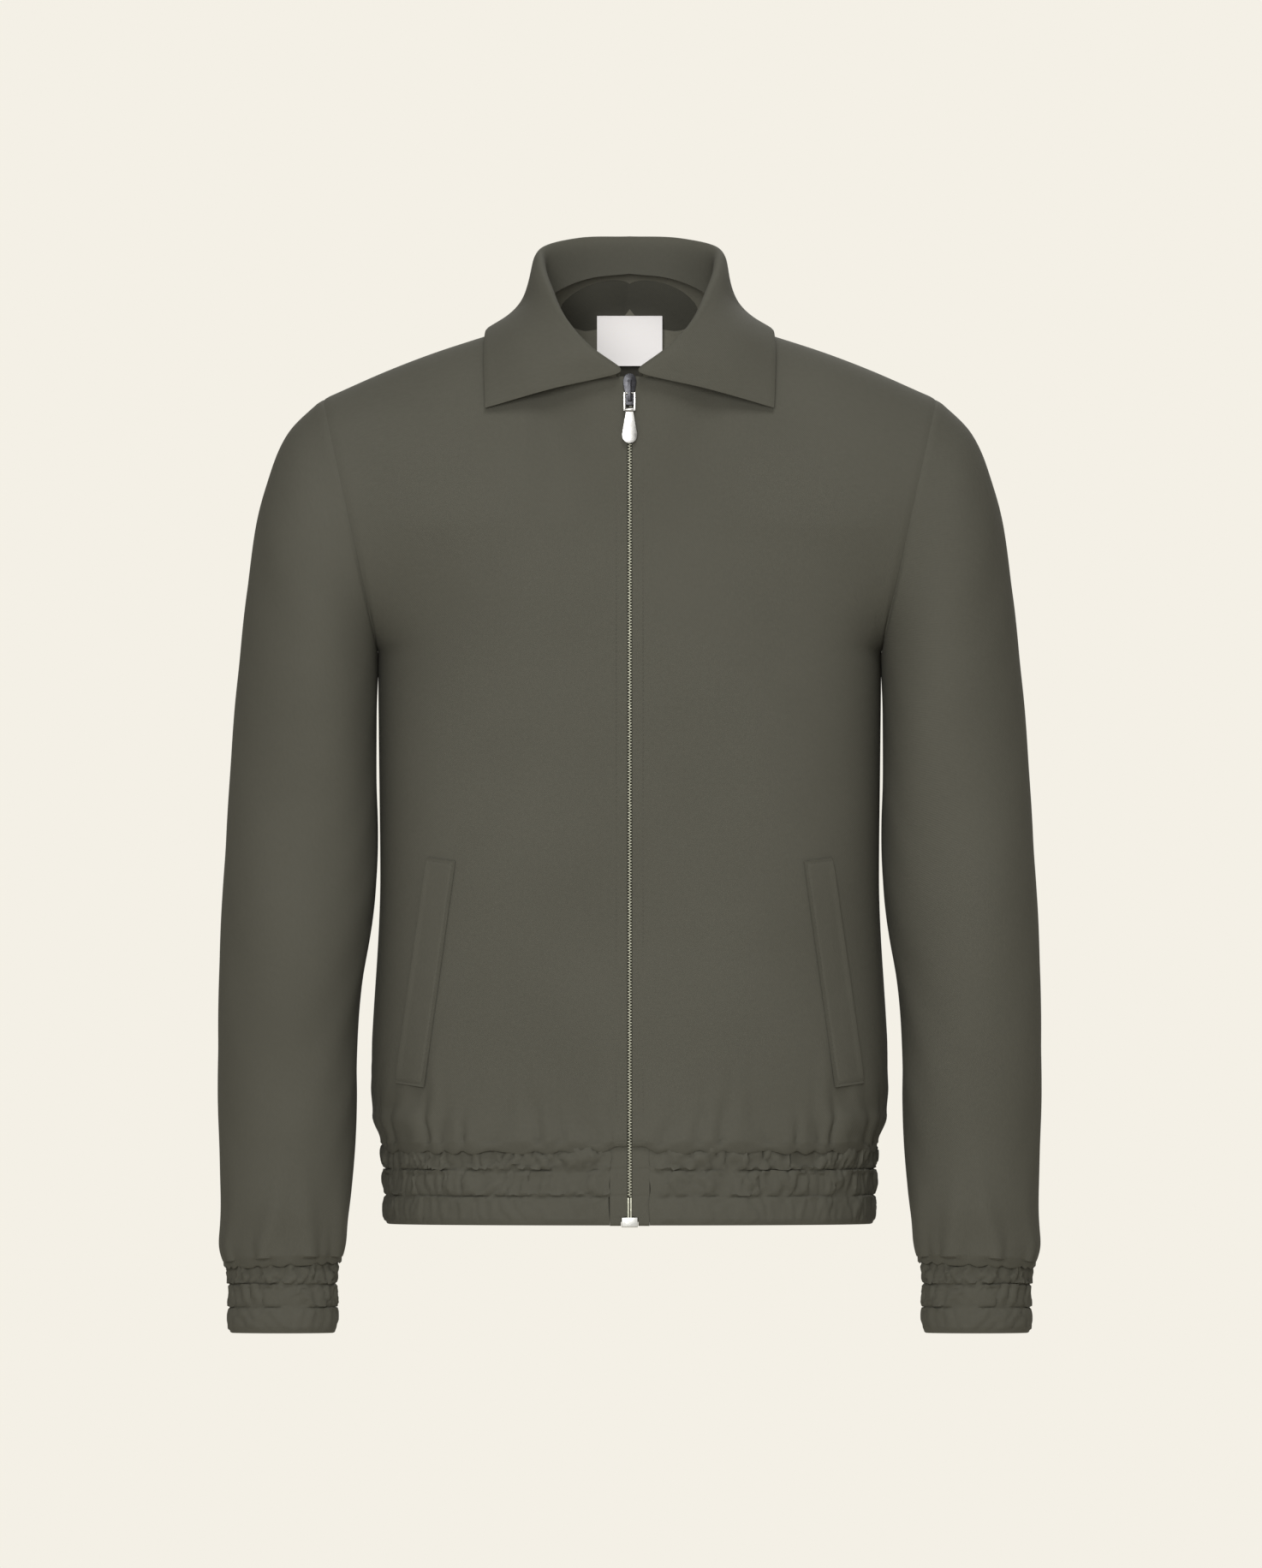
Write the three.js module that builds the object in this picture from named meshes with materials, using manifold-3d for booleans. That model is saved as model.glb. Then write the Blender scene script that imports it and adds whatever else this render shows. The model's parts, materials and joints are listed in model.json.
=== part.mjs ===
// A man's zip-front blouson jacket with a turn-down collar and elasticated hem and cuffs,
// in the shape it takes when worn. Millimetres, +Z up, the front faces -Y and the wearer's
// left is +X. The origin lies between the shoulders, level with the foot of the collar.

import * as THREE from 'three';
import Module from 'manifold-3d';
import { mergeVertices } from 'three/addons/utils/BufferGeometryUtils.js';

const wasm = await Module();
wasm.setup();

// ---- Driving dimensions -------------------------------------------------------------

const CLOTH = 1.2;             // shell fabric with its lining
const LIGHT_CLOTH = 0.8;       // collar layers, facings
const SEAM_GAP = 0.5;          // left between two pieces that are sewn together
const ARMHOLE_GAP = 1;         // least gap between the body and a sleeve, where both edges curve
const ARMHOLE_SLANT_GAP = 1 / 42;   // added to it for each millimetre that the armhole slants
const LAYER_GAP = 0.4;         // left between two layers that lie on each other

const NECK_WIDTH = 150;        // collar seam, side to side
const NECK_DEPTH = 140;        // collar seam, front to back
const NECK_FRONT_Z = -33;      // collar seam at the front
const NECK_BACK_Z = 47;        // collar seam at the back
const NECK_FRONT_Y = -80;

const SHOULDER_WIDTH = 460;    // tip to tip
const SHOULDER_Z = -50;        // height of the shoulder tips
const ARMHOLE_HEIGHT = 188;    // shoulder tip down to the armpit
const ARMHOLE_DEPTH = 136;     // front to back
const CHEST_WIDTH = 376;       // armpit to armpit

const BODY_LENGTH = 606;       // origin level down to the hem seam
const BLOUSE_WIDTH = 386;      // where the body bags out above the hem
const HEM_WIDTH = 364;         // across the hem seam
const HEM_HEIGHT = 61;
const FRONT_LEAN = 4.3;        // degrees that the straight front edge leans forward
const BACK_DEPTH = 114;        // middle of the back behind the origin

const SLEEVE_LENGTH = 644;     // shoulder tip down to the cuff seam
const SLEEVE_UNDERARM = 452;   // armpit down to the cuff seam
const CUFF_HEIGHT = 54.5;
const CUFF_WIDTH = 78;
const CUFF_DEPTH = 70;
const CUFF_CENTRE_X = 260;
const CUFF_CENTRE_Y = -26;

const PUFF = 3;                // how far each stitched row of hem or cuff stands out
const BAND_ROWS = 3;           // stitched rows of hem and cuff
const ELASTIC = 1;             // thickness of the elastic tapes

const COLLAR_STAND_LIFT = 2;   // foot of the collar above the neck seam
const COLLAR_FOLD = 3.2;       // radius of the rolled fold
const COLLAR_LIFT = 8;         // collar leaf above the shoulder

const ZIP_SLOT = 4;            // opening between the two front edges
const PLACKET_WIDTH = 15;      // flat strip beside the zip, from the middle to its stitching
const TAPE_WIDTH = 14;         // from the middle of the zip to the tape's outer edge
const TAPE = 0.6;
const TOOTH_PITCH = 12;
const CHAIN_WIDTH = 3.4;
const CHAIN_THICKNESS = 2.6;
const SLIDER_LENGTH = 24;
const SLIDER_WIDTH = 10;
const SLIDER_PLATE = 1.6;
const PULL_WIRE = 1.4;
const LINK_LENGTH = 12.5;
const LINK_WIDTH = 9;
const TAB_LENGTH = 25;
const TAB_WIDTH = 11;
const HEM_TAB_WIDTH = 14.5;    // plain end of the hem beside the zip, from the middle
const PIN_LENGTH = 15;
const BOX_WIDTH = 12;
const BOX_HEIGHT = 6;

const WELT_WIDTH = 21;
const POCKET_LOW = 44 / 368;    // lower end of the mouth, as a share of hem seam to armpit
const POCKET_HIGH = 213 / 368;  // upper end of the mouth, likewise
const POCKET_IN = 42.5;        // upper end of the mouth, in from the widest part of the body
const POCKET_LOW_IN = 19;      // lower end of the mouth, likewise
const BAG_DEPTH = 92;               // pocket bag, measured in from the mouth

const LABEL_WIDTH = 49;
const LABEL_HEIGHT = 39;

// ---- Small helpers ------------------------------------------------------------------

const vec = (x, y, z) => new THREE.Vector3(x, y, z);
const mix = (a, b, t) => a + (b - a) * t;
const clamp01 = (t) => Math.min(1, Math.max(0, t));
const quarterSin = (t) => Math.sin(t * Math.PI / 2);
const quarterCos = (t) => Math.cos(t * Math.PI / 2);

function smooth(t) {
  const c = clamp01(t);
  return c * c * (3 - 2 * c);
}

// Value at z between stations [z, value], listed from the top down, eased from one to the next.
function station(stations, z) {
  for (let i = 1; i < stations.length; i++) {
    const [zHigh, high] = stations[i - 1];
    const [zLow, low] = stations[i];
    if (z >= zLow) return mix(low, high, smooth((z - zLow) / (zHigh - zLow)));
  }
  return stations[stations.length - 1][1];
}

// Corners are kept to a hundredth of a millimetre.
const toHundredth = (value) => Math.round(value * 100) / 100;

// Turns a list of triangles right way out and makes a geometry of it.
function solid(points, triangles) {
  let volume = 0;
  for (const [a, b, c] of triangles) {
    volume += points[a].dot(vec(0, 0, 0).crossVectors(points[b], points[c]));
  }
  const order = volume > 0 ? [0, 1, 2] : [0, 2, 1];
  const geometry = new THREE.BufferGeometry();
  const positions = points.flatMap((p) => [p.x, p.y, p.z].map(toHundredth));
  const index = triangles.flatMap((t) => order.map((k) => t[k]));
  geometry.setAttribute('position', new THREE.Float32BufferAttribute(positions, 3));
  geometry.setIndex(index);
  return geometry;
}

function surfaceNormal(surface, u, v) {
  const step = 1e-3;
  const across = surface(Math.min(1, u + step), v).sub(surface(Math.max(0, u - step), v));
  const along = surface(u, Math.min(1, v + step)).sub(surface(u, Math.max(0, v - step)));
  return across.cross(along).normalize();
}

function lifted(surface, u, v, lift) {
  return surface(u, v).addScaledVector(surfaceNormal(surface, u, v), lift);
}

// A layer of cloth: a surface sampled on a grid, lifted along its normal and given a thickness.
// With closed set, u = 0 and u = 1 are the same line and the cloth is a tube.
function clothLayer(surface, columns, rows, { thickness = CLOTH, lift = 0, closed = false } = {}) {
  const ring = closed ? columns : columns + 1;
  const faces = [];
  const points = [];
  for (const side of [0.5, -0.5]) {
    for (let j = 0; j <= rows; j++) {
      for (let i = 0; i < ring; i++) {
        points.push(lifted(surface, i / columns, j / rows, lift + side * thickness));
      }
    }
  }
  const innerStart = ring * (rows + 1);
  const outer = (i, j) => j * ring + (i % ring);
  const inner = (i, j) => innerStart + outer(i, j);
  const quad = (a, b, c, d) => faces.push([a, b, c], [a, c, d]);
  for (let j = 0; j < rows; j++) {
    for (let i = 0; i < columns; i++) {
      quad(outer(i, j), outer(i + 1, j), outer(i + 1, j + 1), outer(i, j + 1));
      quad(inner(i, j), inner(i, j + 1), inner(i + 1, j + 1), inner(i + 1, j));
    }
    if (!closed) {
      quad(outer(0, j), outer(0, j + 1), inner(0, j + 1), inner(0, j));
      quad(outer(columns, j), inner(columns, j), inner(columns, j + 1), outer(columns, j + 1));
    }
  }
  for (let i = 0; i < columns; i++) {
    quad(outer(i, 0), inner(i, 0), inner(i + 1, 0), outer(i + 1, 0));
    quad(outer(i, rows), outer(i + 1, rows), inner(i + 1, rows), inner(i, rows));
  }
  return solid(points, faces);
}

// A band: a closed section of [offset, z] points carried along a path. place gives the point
// for a path position u, an offset outwards and a height.
function band(section, columns, place, closed = false) {
  const contour = section.map(([offset, z]) => new THREE.Vector2(offset, z));
  if (THREE.ShapeUtils.isClockWise(contour)) contour.reverse();
  const count = contour.length;
  const rings = closed ? columns : columns + 1;
  const points = [];
  for (let i = 0; i < rings; i++) {
    for (const { x: offset, y: z } of contour) points.push(place(i / columns, offset, z));
  }
  const at = (i, k) => (i % rings) * count + (k % count);
  const faces = [];
  for (let i = 0; i < columns; i++) {
    for (let k = 0; k < count; k++) {
      faces.push([at(i, k), at(i + 1, k), at(i + 1, k + 1)], [at(i, k), at(i + 1, k + 1), at(i, k + 1)]);
    }
  }
  if (!closed) {
    for (const [a, b, c] of THREE.ShapeUtils.triangulateShape(contour, [])) {
      faces.push([at(0, a), at(0, b), at(0, c)], [at(columns, a), at(columns, c), at(columns, b)]);
    }
  }
  return solid(points, faces);
}

// A line of [offset, z] points given a thickness, as a closed outline.
function thickened(line, thickness) {
  const sides = [[], []];
  line.forEach(([x, z], i) => {
    const [x0, z0] = line[Math.max(0, i - 1)];
    const [x1, z1] = line[Math.min(line.length - 1, i + 1)];
    const length = Math.hypot(x1 - x0, z1 - z0);
    const nx = (z1 - z0) / length * thickness / 2;
    const nz = -(x1 - x0) / length * thickness / 2;
    sides[0].push([x + nx, z + nz]);
    sides[1].unshift([x - nx, z - nz]);
  });
  return [...sides[0], ...sides[1]];
}

// The same surface on the wearer's other side, with u turned round so that it still faces out.
const otherSide = (surface) => (u, v) => surface(1 - u, v).multiply(vec(-1, 1, 1));

// A copy with only its positions left, and its shared corners merged.
function merged(geometry) {
  const bare = geometry.clone();
  bare.deleteAttribute('normal');
  bare.deleteAttribute('uv');
  return mergeVertices(bare, 1e-4);
}

function mirrored(geometry) {
  const copy = merged(geometry).scale(-1, 1, 1);
  const index = copy.getIndex();
  for (let i = 0; i < index.count; i += 3) {
    const b = index.getX(i + 1);
    index.setX(i + 1, index.getX(i + 2));
    index.setX(i + 2, b);
  }
  return copy;
}

// Booleans, for pieces that are joined or cut.
function toManifold(geometry) {
  const shared = merged(geometry);
  return new wasm.Manifold(new wasm.Mesh({
    numProp: 3,
    vertProperties: new Float32Array(shared.getAttribute('position').array),
    triVerts: new Uint32Array(shared.getIndex().array),
  }));
}

function fromManifold(manifold) {
  const mesh = manifold.getMesh();
  const geometry = new THREE.BufferGeometry();
  geometry.setAttribute('position', new THREE.Float32BufferAttribute(mesh.vertProperties, 3));
  geometry.setIndex(Array.from(mesh.triVerts));
  return geometry;
}

const joined = (...pieces) => fromManifold(pieces.map(toManifold).reduce((a, b) => a.add(b)));
const cut = (piece, ...tools) =>
  fromManifold(tools.map(toManifold).reduce((a, b) => a.subtract(b), toManifold(piece)));

// A box from its low and high corners.
function block(low, high) {
  const size = high.map((h, i) => h - low[i]);
  const geometry = new THREE.BoxGeometry(...size);
  return geometry.translate(...low.map((l, i) => l + size[i] / 2));
}

// A rod along X.
function rod(radius, length, y, z) {
  const geometry = new THREE.CylinderGeometry(radius, radius, length, 12);
  return geometry.rotateZ(Math.PI / 2).translate(0, y, z);
}

const group = new THREE.Group();
const FINISH = {
  shell: { color: 0x5a584e, roughness: 0.85, metalness: 0 },
  lining: { color: 0x44423a, roughness: 0.8, metalness: 0 },
  elastic: { color: 0x2b2a27, roughness: 0.9, metalness: 0 },
  label: { color: 0xe2deda, roughness: 0.6, metalness: 0 },
  tape: { color: 0x4b4a41, roughness: 0.9, metalness: 0 },
  teeth: { color: 0xa8a99b, roughness: 0.4, metalness: 0.6 },
  slider: { color: 0x1a1a1a, roughness: 0.4, metalness: 0.5 },
  pull: { color: 0xb8b8b8, roughness: 0.25, metalness: 1 },
  retainer: { color: 0xdadada, roughness: 0.35, metalness: 0.9 },
};

function add(name, finish, geometry, parent = group) {
  const mesh = new THREE.Mesh(geometry, new THREE.MeshStandardMaterial(FINISH[finish]));
  mesh.name = name;
  parent.add(mesh);
}

function addPair(name, finish, geometry, parent = group) {
  add(`left_${name}`, finish, geometry, parent);
  add(`right_${name}`, finish, mirrored(geometry), parent);
}

// ---- Body: the shape that the panels follow -------------------------------------------

const lean = THREE.MathUtils.degToRad(FRONT_LEAN);
const armpitZ = SHOULDER_Z - ARMHOLE_HEIGHT;
const shoulderTip = vec(SHOULDER_WIDTH / 2, 0, SHOULDER_Z);
const armpit = vec(CHEST_WIDTH / 2, 0, armpitZ);
const chestZ = (SHOULDER_Z + armpitZ) / 2;
const hemSeamZ = -BODY_LENGTH;
const bodySquareness = 2.3;    // exponent of the body's rounded-rectangle section

// Front edge beside the zip: straight from the neck to the hem, so the slider runs true.
const frontEdgeY = (z) => NECK_FRONT_Y - (NECK_FRONT_Z - z) * Math.tan(lean);

const halfWidthStations = [
  [armpitZ, CHEST_WIDTH / 2],
  [mix(armpitZ, hemSeamZ, 170 / 368), CHEST_WIDTH / 2 - 1.5],
  [hemSeamZ + 44, BLOUSE_WIDTH / 2],
  [hemSeamZ + 20, BLOUSE_WIDTH / 2 - 2],
  [hemSeamZ, HEM_WIDTH / 2],
];
const backStations = [
  [chestZ, BACK_DEPTH - 2],
  [armpitZ, BACK_DEPTH],
  [mix(armpitZ, hemSeamZ, 160 / 368), BACK_DEPTH - 3],
  [hemSeamZ + 44, BACK_DEPTH + 7],
  [hemSeamZ, BACK_DEPTH - 2],
  [hemSeamZ - HEM_HEIGHT, BACK_DEPTH],
];
const halfWidthAt = (z) => station(halfWidthStations, z);
const backAt = (z) => station(backStations, z);

// Share of the way from the flat middle strip to the side.
const sideShare = (x, halfWidth, flat) => clamp01((Math.abs(x) - flat) / (halfWidth - flat));

// Depth of a rounded-rectangle section at x, as a share of its middle depth.
function sectionShare(x, halfWidth, flat) {
  return (1 - sideShare(x, halfWidth, flat) ** bodySquareness) ** (1 / bodySquareness);
}

// Neck seam: a tilted ellipse with a flat front. angle 0 is the front, 180 degrees the back.
function neckSeam(degrees) {
  const angle = THREE.MathUtils.degToRad(degrees);
  const x = NECK_WIDTH / 2 * Math.sin(angle);
  const front = Math.sqrt(1 - sideShare(x, NECK_WIDTH / 2, PLACKET_WIDTH) ** 2);
  const along = degrees < 90 ? front : Math.cos(angle);
  const middleY = NECK_FRONT_Y + NECK_DEPTH / 2;
  const middleZ = (NECK_FRONT_Z + NECK_BACK_Z) / 2;
  return vec(
    x,
    middleY - NECK_DEPTH / 2 * along,
    middleZ - (NECK_BACK_Z - NECK_FRONT_Z) / 2 * along,
  );
}

// Top line of a panel from its flat middle (u = 0) along the neck seam and the shoulder seam.
const NECK_SHARE = 1 / 3;
const SHOULDER_ARCH = 4;       // how far the shoulder seam bows up

function topLine(u, face, flat) {
  const start = THREE.MathUtils.radToDeg(Math.asin(flat / (NECK_WIDTH / 2)));
  if (u <= NECK_SHARE) {
    const angle = mix(start, 90, u / NECK_SHARE);
    return neckSeam(face === 'front' ? angle : 180 - angle);
  }
  const t = (u - NECK_SHARE) / (1 - NECK_SHARE);
  const point = neckSeam(90).lerp(shoulderTip, t);
  point.z += SHOULDER_ARCH * Math.sin(Math.PI * t);
  return point;
}

// One half of the front or back, on the wearer's left. u runs from the middle to the side,
// v from the hem seam up. Three stretches: hem to armpit, armpit to chest, chest to shoulder.
const ARMPIT_V = 0.58;
const CHEST_V = 0.74;

function halfPanel(face, u, v) {
  const front = face === 'front';
  const flat = front ? PLACKET_WIDTH : 0;
  const middleY = front ? frontEdgeY : backAt;
  const across = quarterSin(u) ** (2 / bodySquareness);

  const below = (z) => {
    const halfWidth = halfWidthAt(z);
    const x = mix(flat, halfWidth, across);
    return vec(x, middleY(z) * sectionShare(x, halfWidth, flat), z);
  };
  if (v <= ARMPIT_V) return below(mix(hemSeamZ, armpitZ, v / ARMPIT_V));

  const armholeX = (shoulderTip.x + armpit.x) / 2;
  const armholeY = (front ? -1 : 1) * ARMHOLE_DEPTH / 2;
  const chest = vec(mix(flat, armholeX, u), mix(middleY(chestZ), armholeY, u ** 2.2), chestZ);
  if (v <= CHEST_V) {
    const q = (v - ARMPIT_V) / (CHEST_V - ARMPIT_V);
    const start = below(armpitZ);
    const rise = mix(q, 1 - quarterCos(q), u ** 3);
    const swing = mix(q, quarterSin(q), u ** 3);
    return vec(mix(start.x, chest.x, rise), mix(start.y, chest.y, swing), mix(armpitZ, chestZ, rise));
  }
  const q = (v - CHEST_V) / (1 - CHEST_V);
  const top = topLine(u, face, flat);
  const straight = mix(chest.y, top.y, quarterSin(q));
  const rounded = mix(top.y, chest.y, quarterCos(q));
  const roundness = front ? smooth(u / NECK_SHARE) : 1;
  return vec(
    mix(chest.x, top.x, quarterSin(q)),
    mix(straight, rounded, roundness),
    mix(chest.z, top.z, quarterSin(q)),
  );
}

// The panels stop short of each other at the side and shoulder seams and at the zip.
const SIDE_END = 0.9986;
const SHOULDER_END = 0.9984;
const FRONT_COLUMNS = 9;       // the first is the flat strip beside the zip
const BACK_COLUMNS = 16;
const PANEL_ROWS = 14;

function frontHalf(u, v) {
  const placketShare = 1 / FRONT_COLUMNS;
  const sideways = Math.max(0, u - placketShare) / (1 - placketShare);
  const point = halfPanel('front', sideways * SIDE_END, v * SHOULDER_END);
  if (u < placketShare) point.x = mix(ZIP_SLOT / 2, PLACKET_WIDTH, u / placketShare);
  return point;
}

function wholeBack(u, v) {
  const side = 1 - 2 * u;
  const point = halfPanel('back', Math.abs(side) * SIDE_END, v * SHOULDER_END);
  if (side < 0) point.x = -point.x;
  return point;
}

// Outer face of the body below the armpits at x and z, moved out by lift.
function bodyFront(x, z, lift) {
  const share = (px) => frontEdgeY(z) * sectionShare(px, halfWidthAt(z), PLACKET_WIDTH);
  const step = 0.5;
  const slope = (share(x + step) - share(x - step)) / (2 * step);
  const normal = vec(slope, -1, 0).normalize();
  return vec(x, share(x), z).addScaledVector(normal, lift);
}

add('back_panel', 'shell', clothLayer(wholeBack, BACK_COLUMNS, PANEL_ROWS));
add('left_front', 'shell', clothLayer(frontHalf, FRONT_COLUMNS, PANEL_ROWS));
add('right_front', 'shell', clothLayer(otherSide(frontHalf), FRONT_COLUMNS, PANEL_ROWS));

// ---- Sleeves ----------------------------------------------------------------------------

// Outer and inner outlines of the left sleeve in the front view, from the armhole to the cuff.
const armholeOut = vec(shoulderTip.x - armpit.x, 0, SHOULDER_Z - armpitZ).cross(vec(0, 1, 0));
const armholeGap = ARMHOLE_GAP + ARMHOLE_SLANT_GAP * (shoulderTip.x - armpit.x);
armholeOut.normalize().multiplyScalar(-armholeGap);
const cuffSeamZ = SHOULDER_Z - SLEEVE_LENGTH;
const cuffOuterX = CUFF_CENTRE_X + CUFF_WIDTH / 2 + 2;
const cuffInnerX = CUFF_CENTRE_X - CUFF_WIDTH / 2 - 2;
const outerRun = cuffOuterX - shoulderTip.x;
const outerShares = [[0.04, 26], [0.104, 43], [0.193, 54], [0.43, 69], [0.73, 78], [0.93, 76], [0.98, 75]];
const outerLine = new THREE.CatmullRomCurve3([
  shoulderTip.clone().add(armholeOut),
  ...outerShares.map(([t, x]) => vec(shoulderTip.x + x * outerRun / 71, 0, SHOULDER_Z - SLEEVE_LENGTH * t)),
  vec(cuffOuterX, 0, cuffSeamZ),
]);
const underarmX = CHEST_WIDTH / 2 + 2.2;
const innerShares = [[0.14, 0], [0.37, 0], [0.61, 0.46], [0.75, 0.5], [0.93, 0.7], [0.97, 0.82]];
const innerLine = new THREE.CatmullRomCurve3([
  armpit.clone().add(armholeOut),
  ...innerShares.map(([t, share]) =>
    vec(mix(underarmX, cuffInnerX, share), 0, armpitZ - SLEEVE_UNDERARM * t)),
  vec(cuffInnerX, 0, armpitZ - SLEEVE_UNDERARM),
]);
const sleeveDepths = [
  [0, ARMHOLE_DEPTH / 2], [-0.15, ARMHOLE_DEPTH / 2 + 6], [-0.5, ARMHOLE_DEPTH / 2 - 6],
  [-0.93, CUFF_DEPTH / 2 + 9], [-1, CUFF_DEPTH / 2 + 2],
];

function sleeve(u, v) {
  const angle = -2 * Math.PI * u;
  const outerPoint = outerLine.getPointAt(v);
  const innerPoint = innerLine.getPointAt(v);
  const middle = outerPoint.clone().add(innerPoint).multiplyScalar(0.5);
  const half = outerPoint.sub(innerPoint).multiplyScalar(0.5);
  const point = middle.addScaledVector(half, Math.cos(angle));
  point.y = station(sleeveDepths, -v) * Math.sin(angle) + CUFF_CENTRE_Y * v ** 1.5;
  return point;
}

addPair('sleeve', 'shell', clothLayer(sleeve, 14, 11, { closed: true }));

// ---- Stitched bands: hem and cuffs --------------------------------------------------------

// Section of a folded band, hung down from z = 0: a puffed outer wall, the fold and a flat
// inner wall. Offsets count outwards.
const BAND_FOLD = 2.4;         // distance between outer and inner wall

function bandSection(height) {
  const line = [[0, 0]];
  const wall = height - BAND_FOLD;
  for (let row = 0; row < BAND_ROWS; row++) {
    line.push([PUFF, -wall * (row + 0.5) / BAND_ROWS], [0, -wall * (row + 1) / BAND_ROWS]);
  }
  line.push([-BAND_FOLD / 2, -height + CLOTH / 2], [-BAND_FOLD, -wall], [-BAND_FOLD, 0]);
  return thickened(line, CLOTH);
}

// Section of the elastic that lies between the two walls.
function elasticSection(height) {
  const margin = 4;
  const low = -BAND_FOLD / 2 - ELASTIC / 4;
  const high = low + ELASTIC / 2;
  return [[low, -margin], [high, -margin], [high, margin - height], [low, margin - height]];
}

// The hem's ring, from beside the zip round the back to the zip again.
const hemBandTop = hemSeamZ - SEAM_GAP * 2;

function hemPlace(u, offset, height, startX) {
  const z = hemBandTop + height;
  const halfWidth = HEM_WIDTH / 2;
  const start = Math.asin((startX / halfWidth) ** (bodySquareness / 2));
  const angle = mix(start, 2 * Math.PI - start, u);
  const power = 2 / bodySquareness;
  const x = halfWidth * Math.sign(Math.sin(angle)) * Math.abs(Math.sin(angle)) ** power;
  const depth = Math.cos(angle) > 0 ? frontEdgeY(z) : backAt(z);
  const y = depth * Math.abs(Math.cos(angle)) ** power;
  const outwards = vec(x / halfWidth ** 2, y / depth ** 2, 0).normalize();
  return vec(x, y, z).addScaledVector(outwards, offset);
}

const hemStart = HEM_TAB_WIDTH + SEAM_GAP;
const HEM_COLUMNS = 24;
const CUFF_COLUMNS = 14;
add('hem_band', 'shell', band(bandSection(HEM_HEIGHT), HEM_COLUMNS,
  (u, offset, height) => hemPlace(u, offset, height, hemStart)));
add('hem_elastic', 'elastic', band(elasticSection(HEM_HEIGHT), HEM_COLUMNS,
  (u, offset, height) => hemPlace(u, offset, height, hemStart)));

function cuffPlace(u, offset, height) {
  const angle = 2 * Math.PI * u;
  const x = CUFF_CENTRE_X + (CUFF_WIDTH / 2 + offset) * Math.cos(angle);
  const y = CUFF_CENTRE_Y + (CUFF_DEPTH / 2 + offset) * Math.sin(angle);
  return vec(x, y, cuffSeamZ - SEAM_GAP * 2 + height);
}

addPair('cuff', 'shell', band(bandSection(CUFF_HEIGHT), CUFF_COLUMNS, cuffPlace, true));
addPair('cuff_elastic', 'elastic', band(elasticSection(CUFF_HEIGHT), CUFF_COLUMNS, cuffPlace, true));

// ---- Collar ---------------------------------------------------------------------------

// Stations from the front end of the collar (0) to the middle of the back (1): the angle on
// the neck seam, the fold, and the leaf's outer edge as a place on the front or back panel.
const FOLD_POINTS = [
  [7, -6, 5], [30, -8.4, 19.6], [47, -7.8, 27.9], [58, -5.8, 34], [64, -6.1, 34.6],
  [62, -5, 31.3], [36, -1.4, 27.7], [0, 0, 25.5],
];
const SEAM_ANGLES = [6, 30, 55, 80, 105, 130, 155, 180];
const EDGE_PLACES = [
  ['front', 0.473, 0.415], ['front', 0.475, 0.533], ['front', 0.475, 0.713], ['front', 0.468, 0.97],
  ['back', 0.45, 0.85], ['back', 0.38, 0.7], ['back', 0.22, 0.6], ['back', 0, 0.57],
];

const seamCurve = new THREE.CatmullRomCurve3(SEAM_ANGLES.map(neckSeam));
const foldCurve = new THREE.CatmullRomCurve3(FOLD_POINTS.map(([x, dy, dz], i) => {
  const seam = neckSeam(SEAM_ANGLES[i]);
  return vec(x * NECK_WIDTH / 150, seam.y + dy, seam.z + dz);
}));
const edgeCurve = new THREE.CatmullRomCurve3(EDGE_PLACES.map(([face, u, q]) => {
  const panel = (pu, pv) => halfPanel(face, pu, pv);
  const sign = face === 'front' ? 1 : -1;
  return lifted(panel, u, mix(CHEST_V, 1, q), sign * COLLAR_LIFT);
}));

function collarHalf(s, r) {
  const seam = seamCurve.getPoint(s);
  const fold = foldCurve.getPoint(s);
  const edge = edgeCurve.getPoint(s);
  const outwards = vec(fold.x, fold.y - (NECK_FRONT_Y + NECK_DEPTH / 2), 0).normalize();
  const radius = mix(COLLAR_FOLD * 0.6, COLLAR_FOLD, smooth(s * 4));
  const up = vec(0, 0, radius);
  const foot = seam.clone().lerp(fold, COLLAR_STAND_LIFT / seam.distanceTo(fold));
  const roll = fold.clone().addScaledVector(outwards, radius);
  const belly = fold.clone().lerp(edge, 0.5).addScaledVector(outwards, 8);
  belly.z += 8 * smooth(s * 3);
  const profile = new THREE.CatmullRomCurve3([
    foot,
    fold.clone().sub(up),
    roll,
    roll.clone().addScaledVector(outwards, radius).sub(up),
    belly,
    edge,
  ]);
  return profile.getPoint(r);
}

function collar(u, v) {
  const point = collarHalf(1 - Math.abs(1 - 2 * u), v);
  if (u > 0.5) point.x = -point.x;
  return point;
}

const INTERLINING = 0.4;
const layerStep = (LIGHT_CLOTH + INTERLINING) / 2 + LAYER_GAP;
const collarLayer = (thickness, lift) => clothLayer(collar, 22, 9, { thickness, lift });
add('upper_collar', 'shell', collarLayer(LIGHT_CLOTH, -layerStep));
add('collar_interlining', 'lining', collarLayer(INTERLINING, 0));
add('under_collar', 'shell', collarLayer(LIGHT_CLOTH, layerStep));

// ---- Inside the neck: facing and label ---------------------------------------------------

// The facing follows the back panel's own columns and rows.
const facingLift = -(CLOTH / 2 + LAYER_GAP + LIGHT_CLOTH / 2);
const facingColumns = 6;
const facingRows = 2;
const facingStart = (BACK_COLUMNS - facingColumns) / 2 / BACK_COLUMNS;
const facingLow = 1 - facingRows / PANEL_ROWS;
const backNeck = (u, v) => wholeBack(mix(facingStart, 1 - facingStart, u), mix(facingLow, 1, v));
add('back_neck_facing', 'lining',
  clothLayer(backNeck, facingColumns, facingRows, { thickness: LIGHT_CLOTH, lift: facingLift }));

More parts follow.
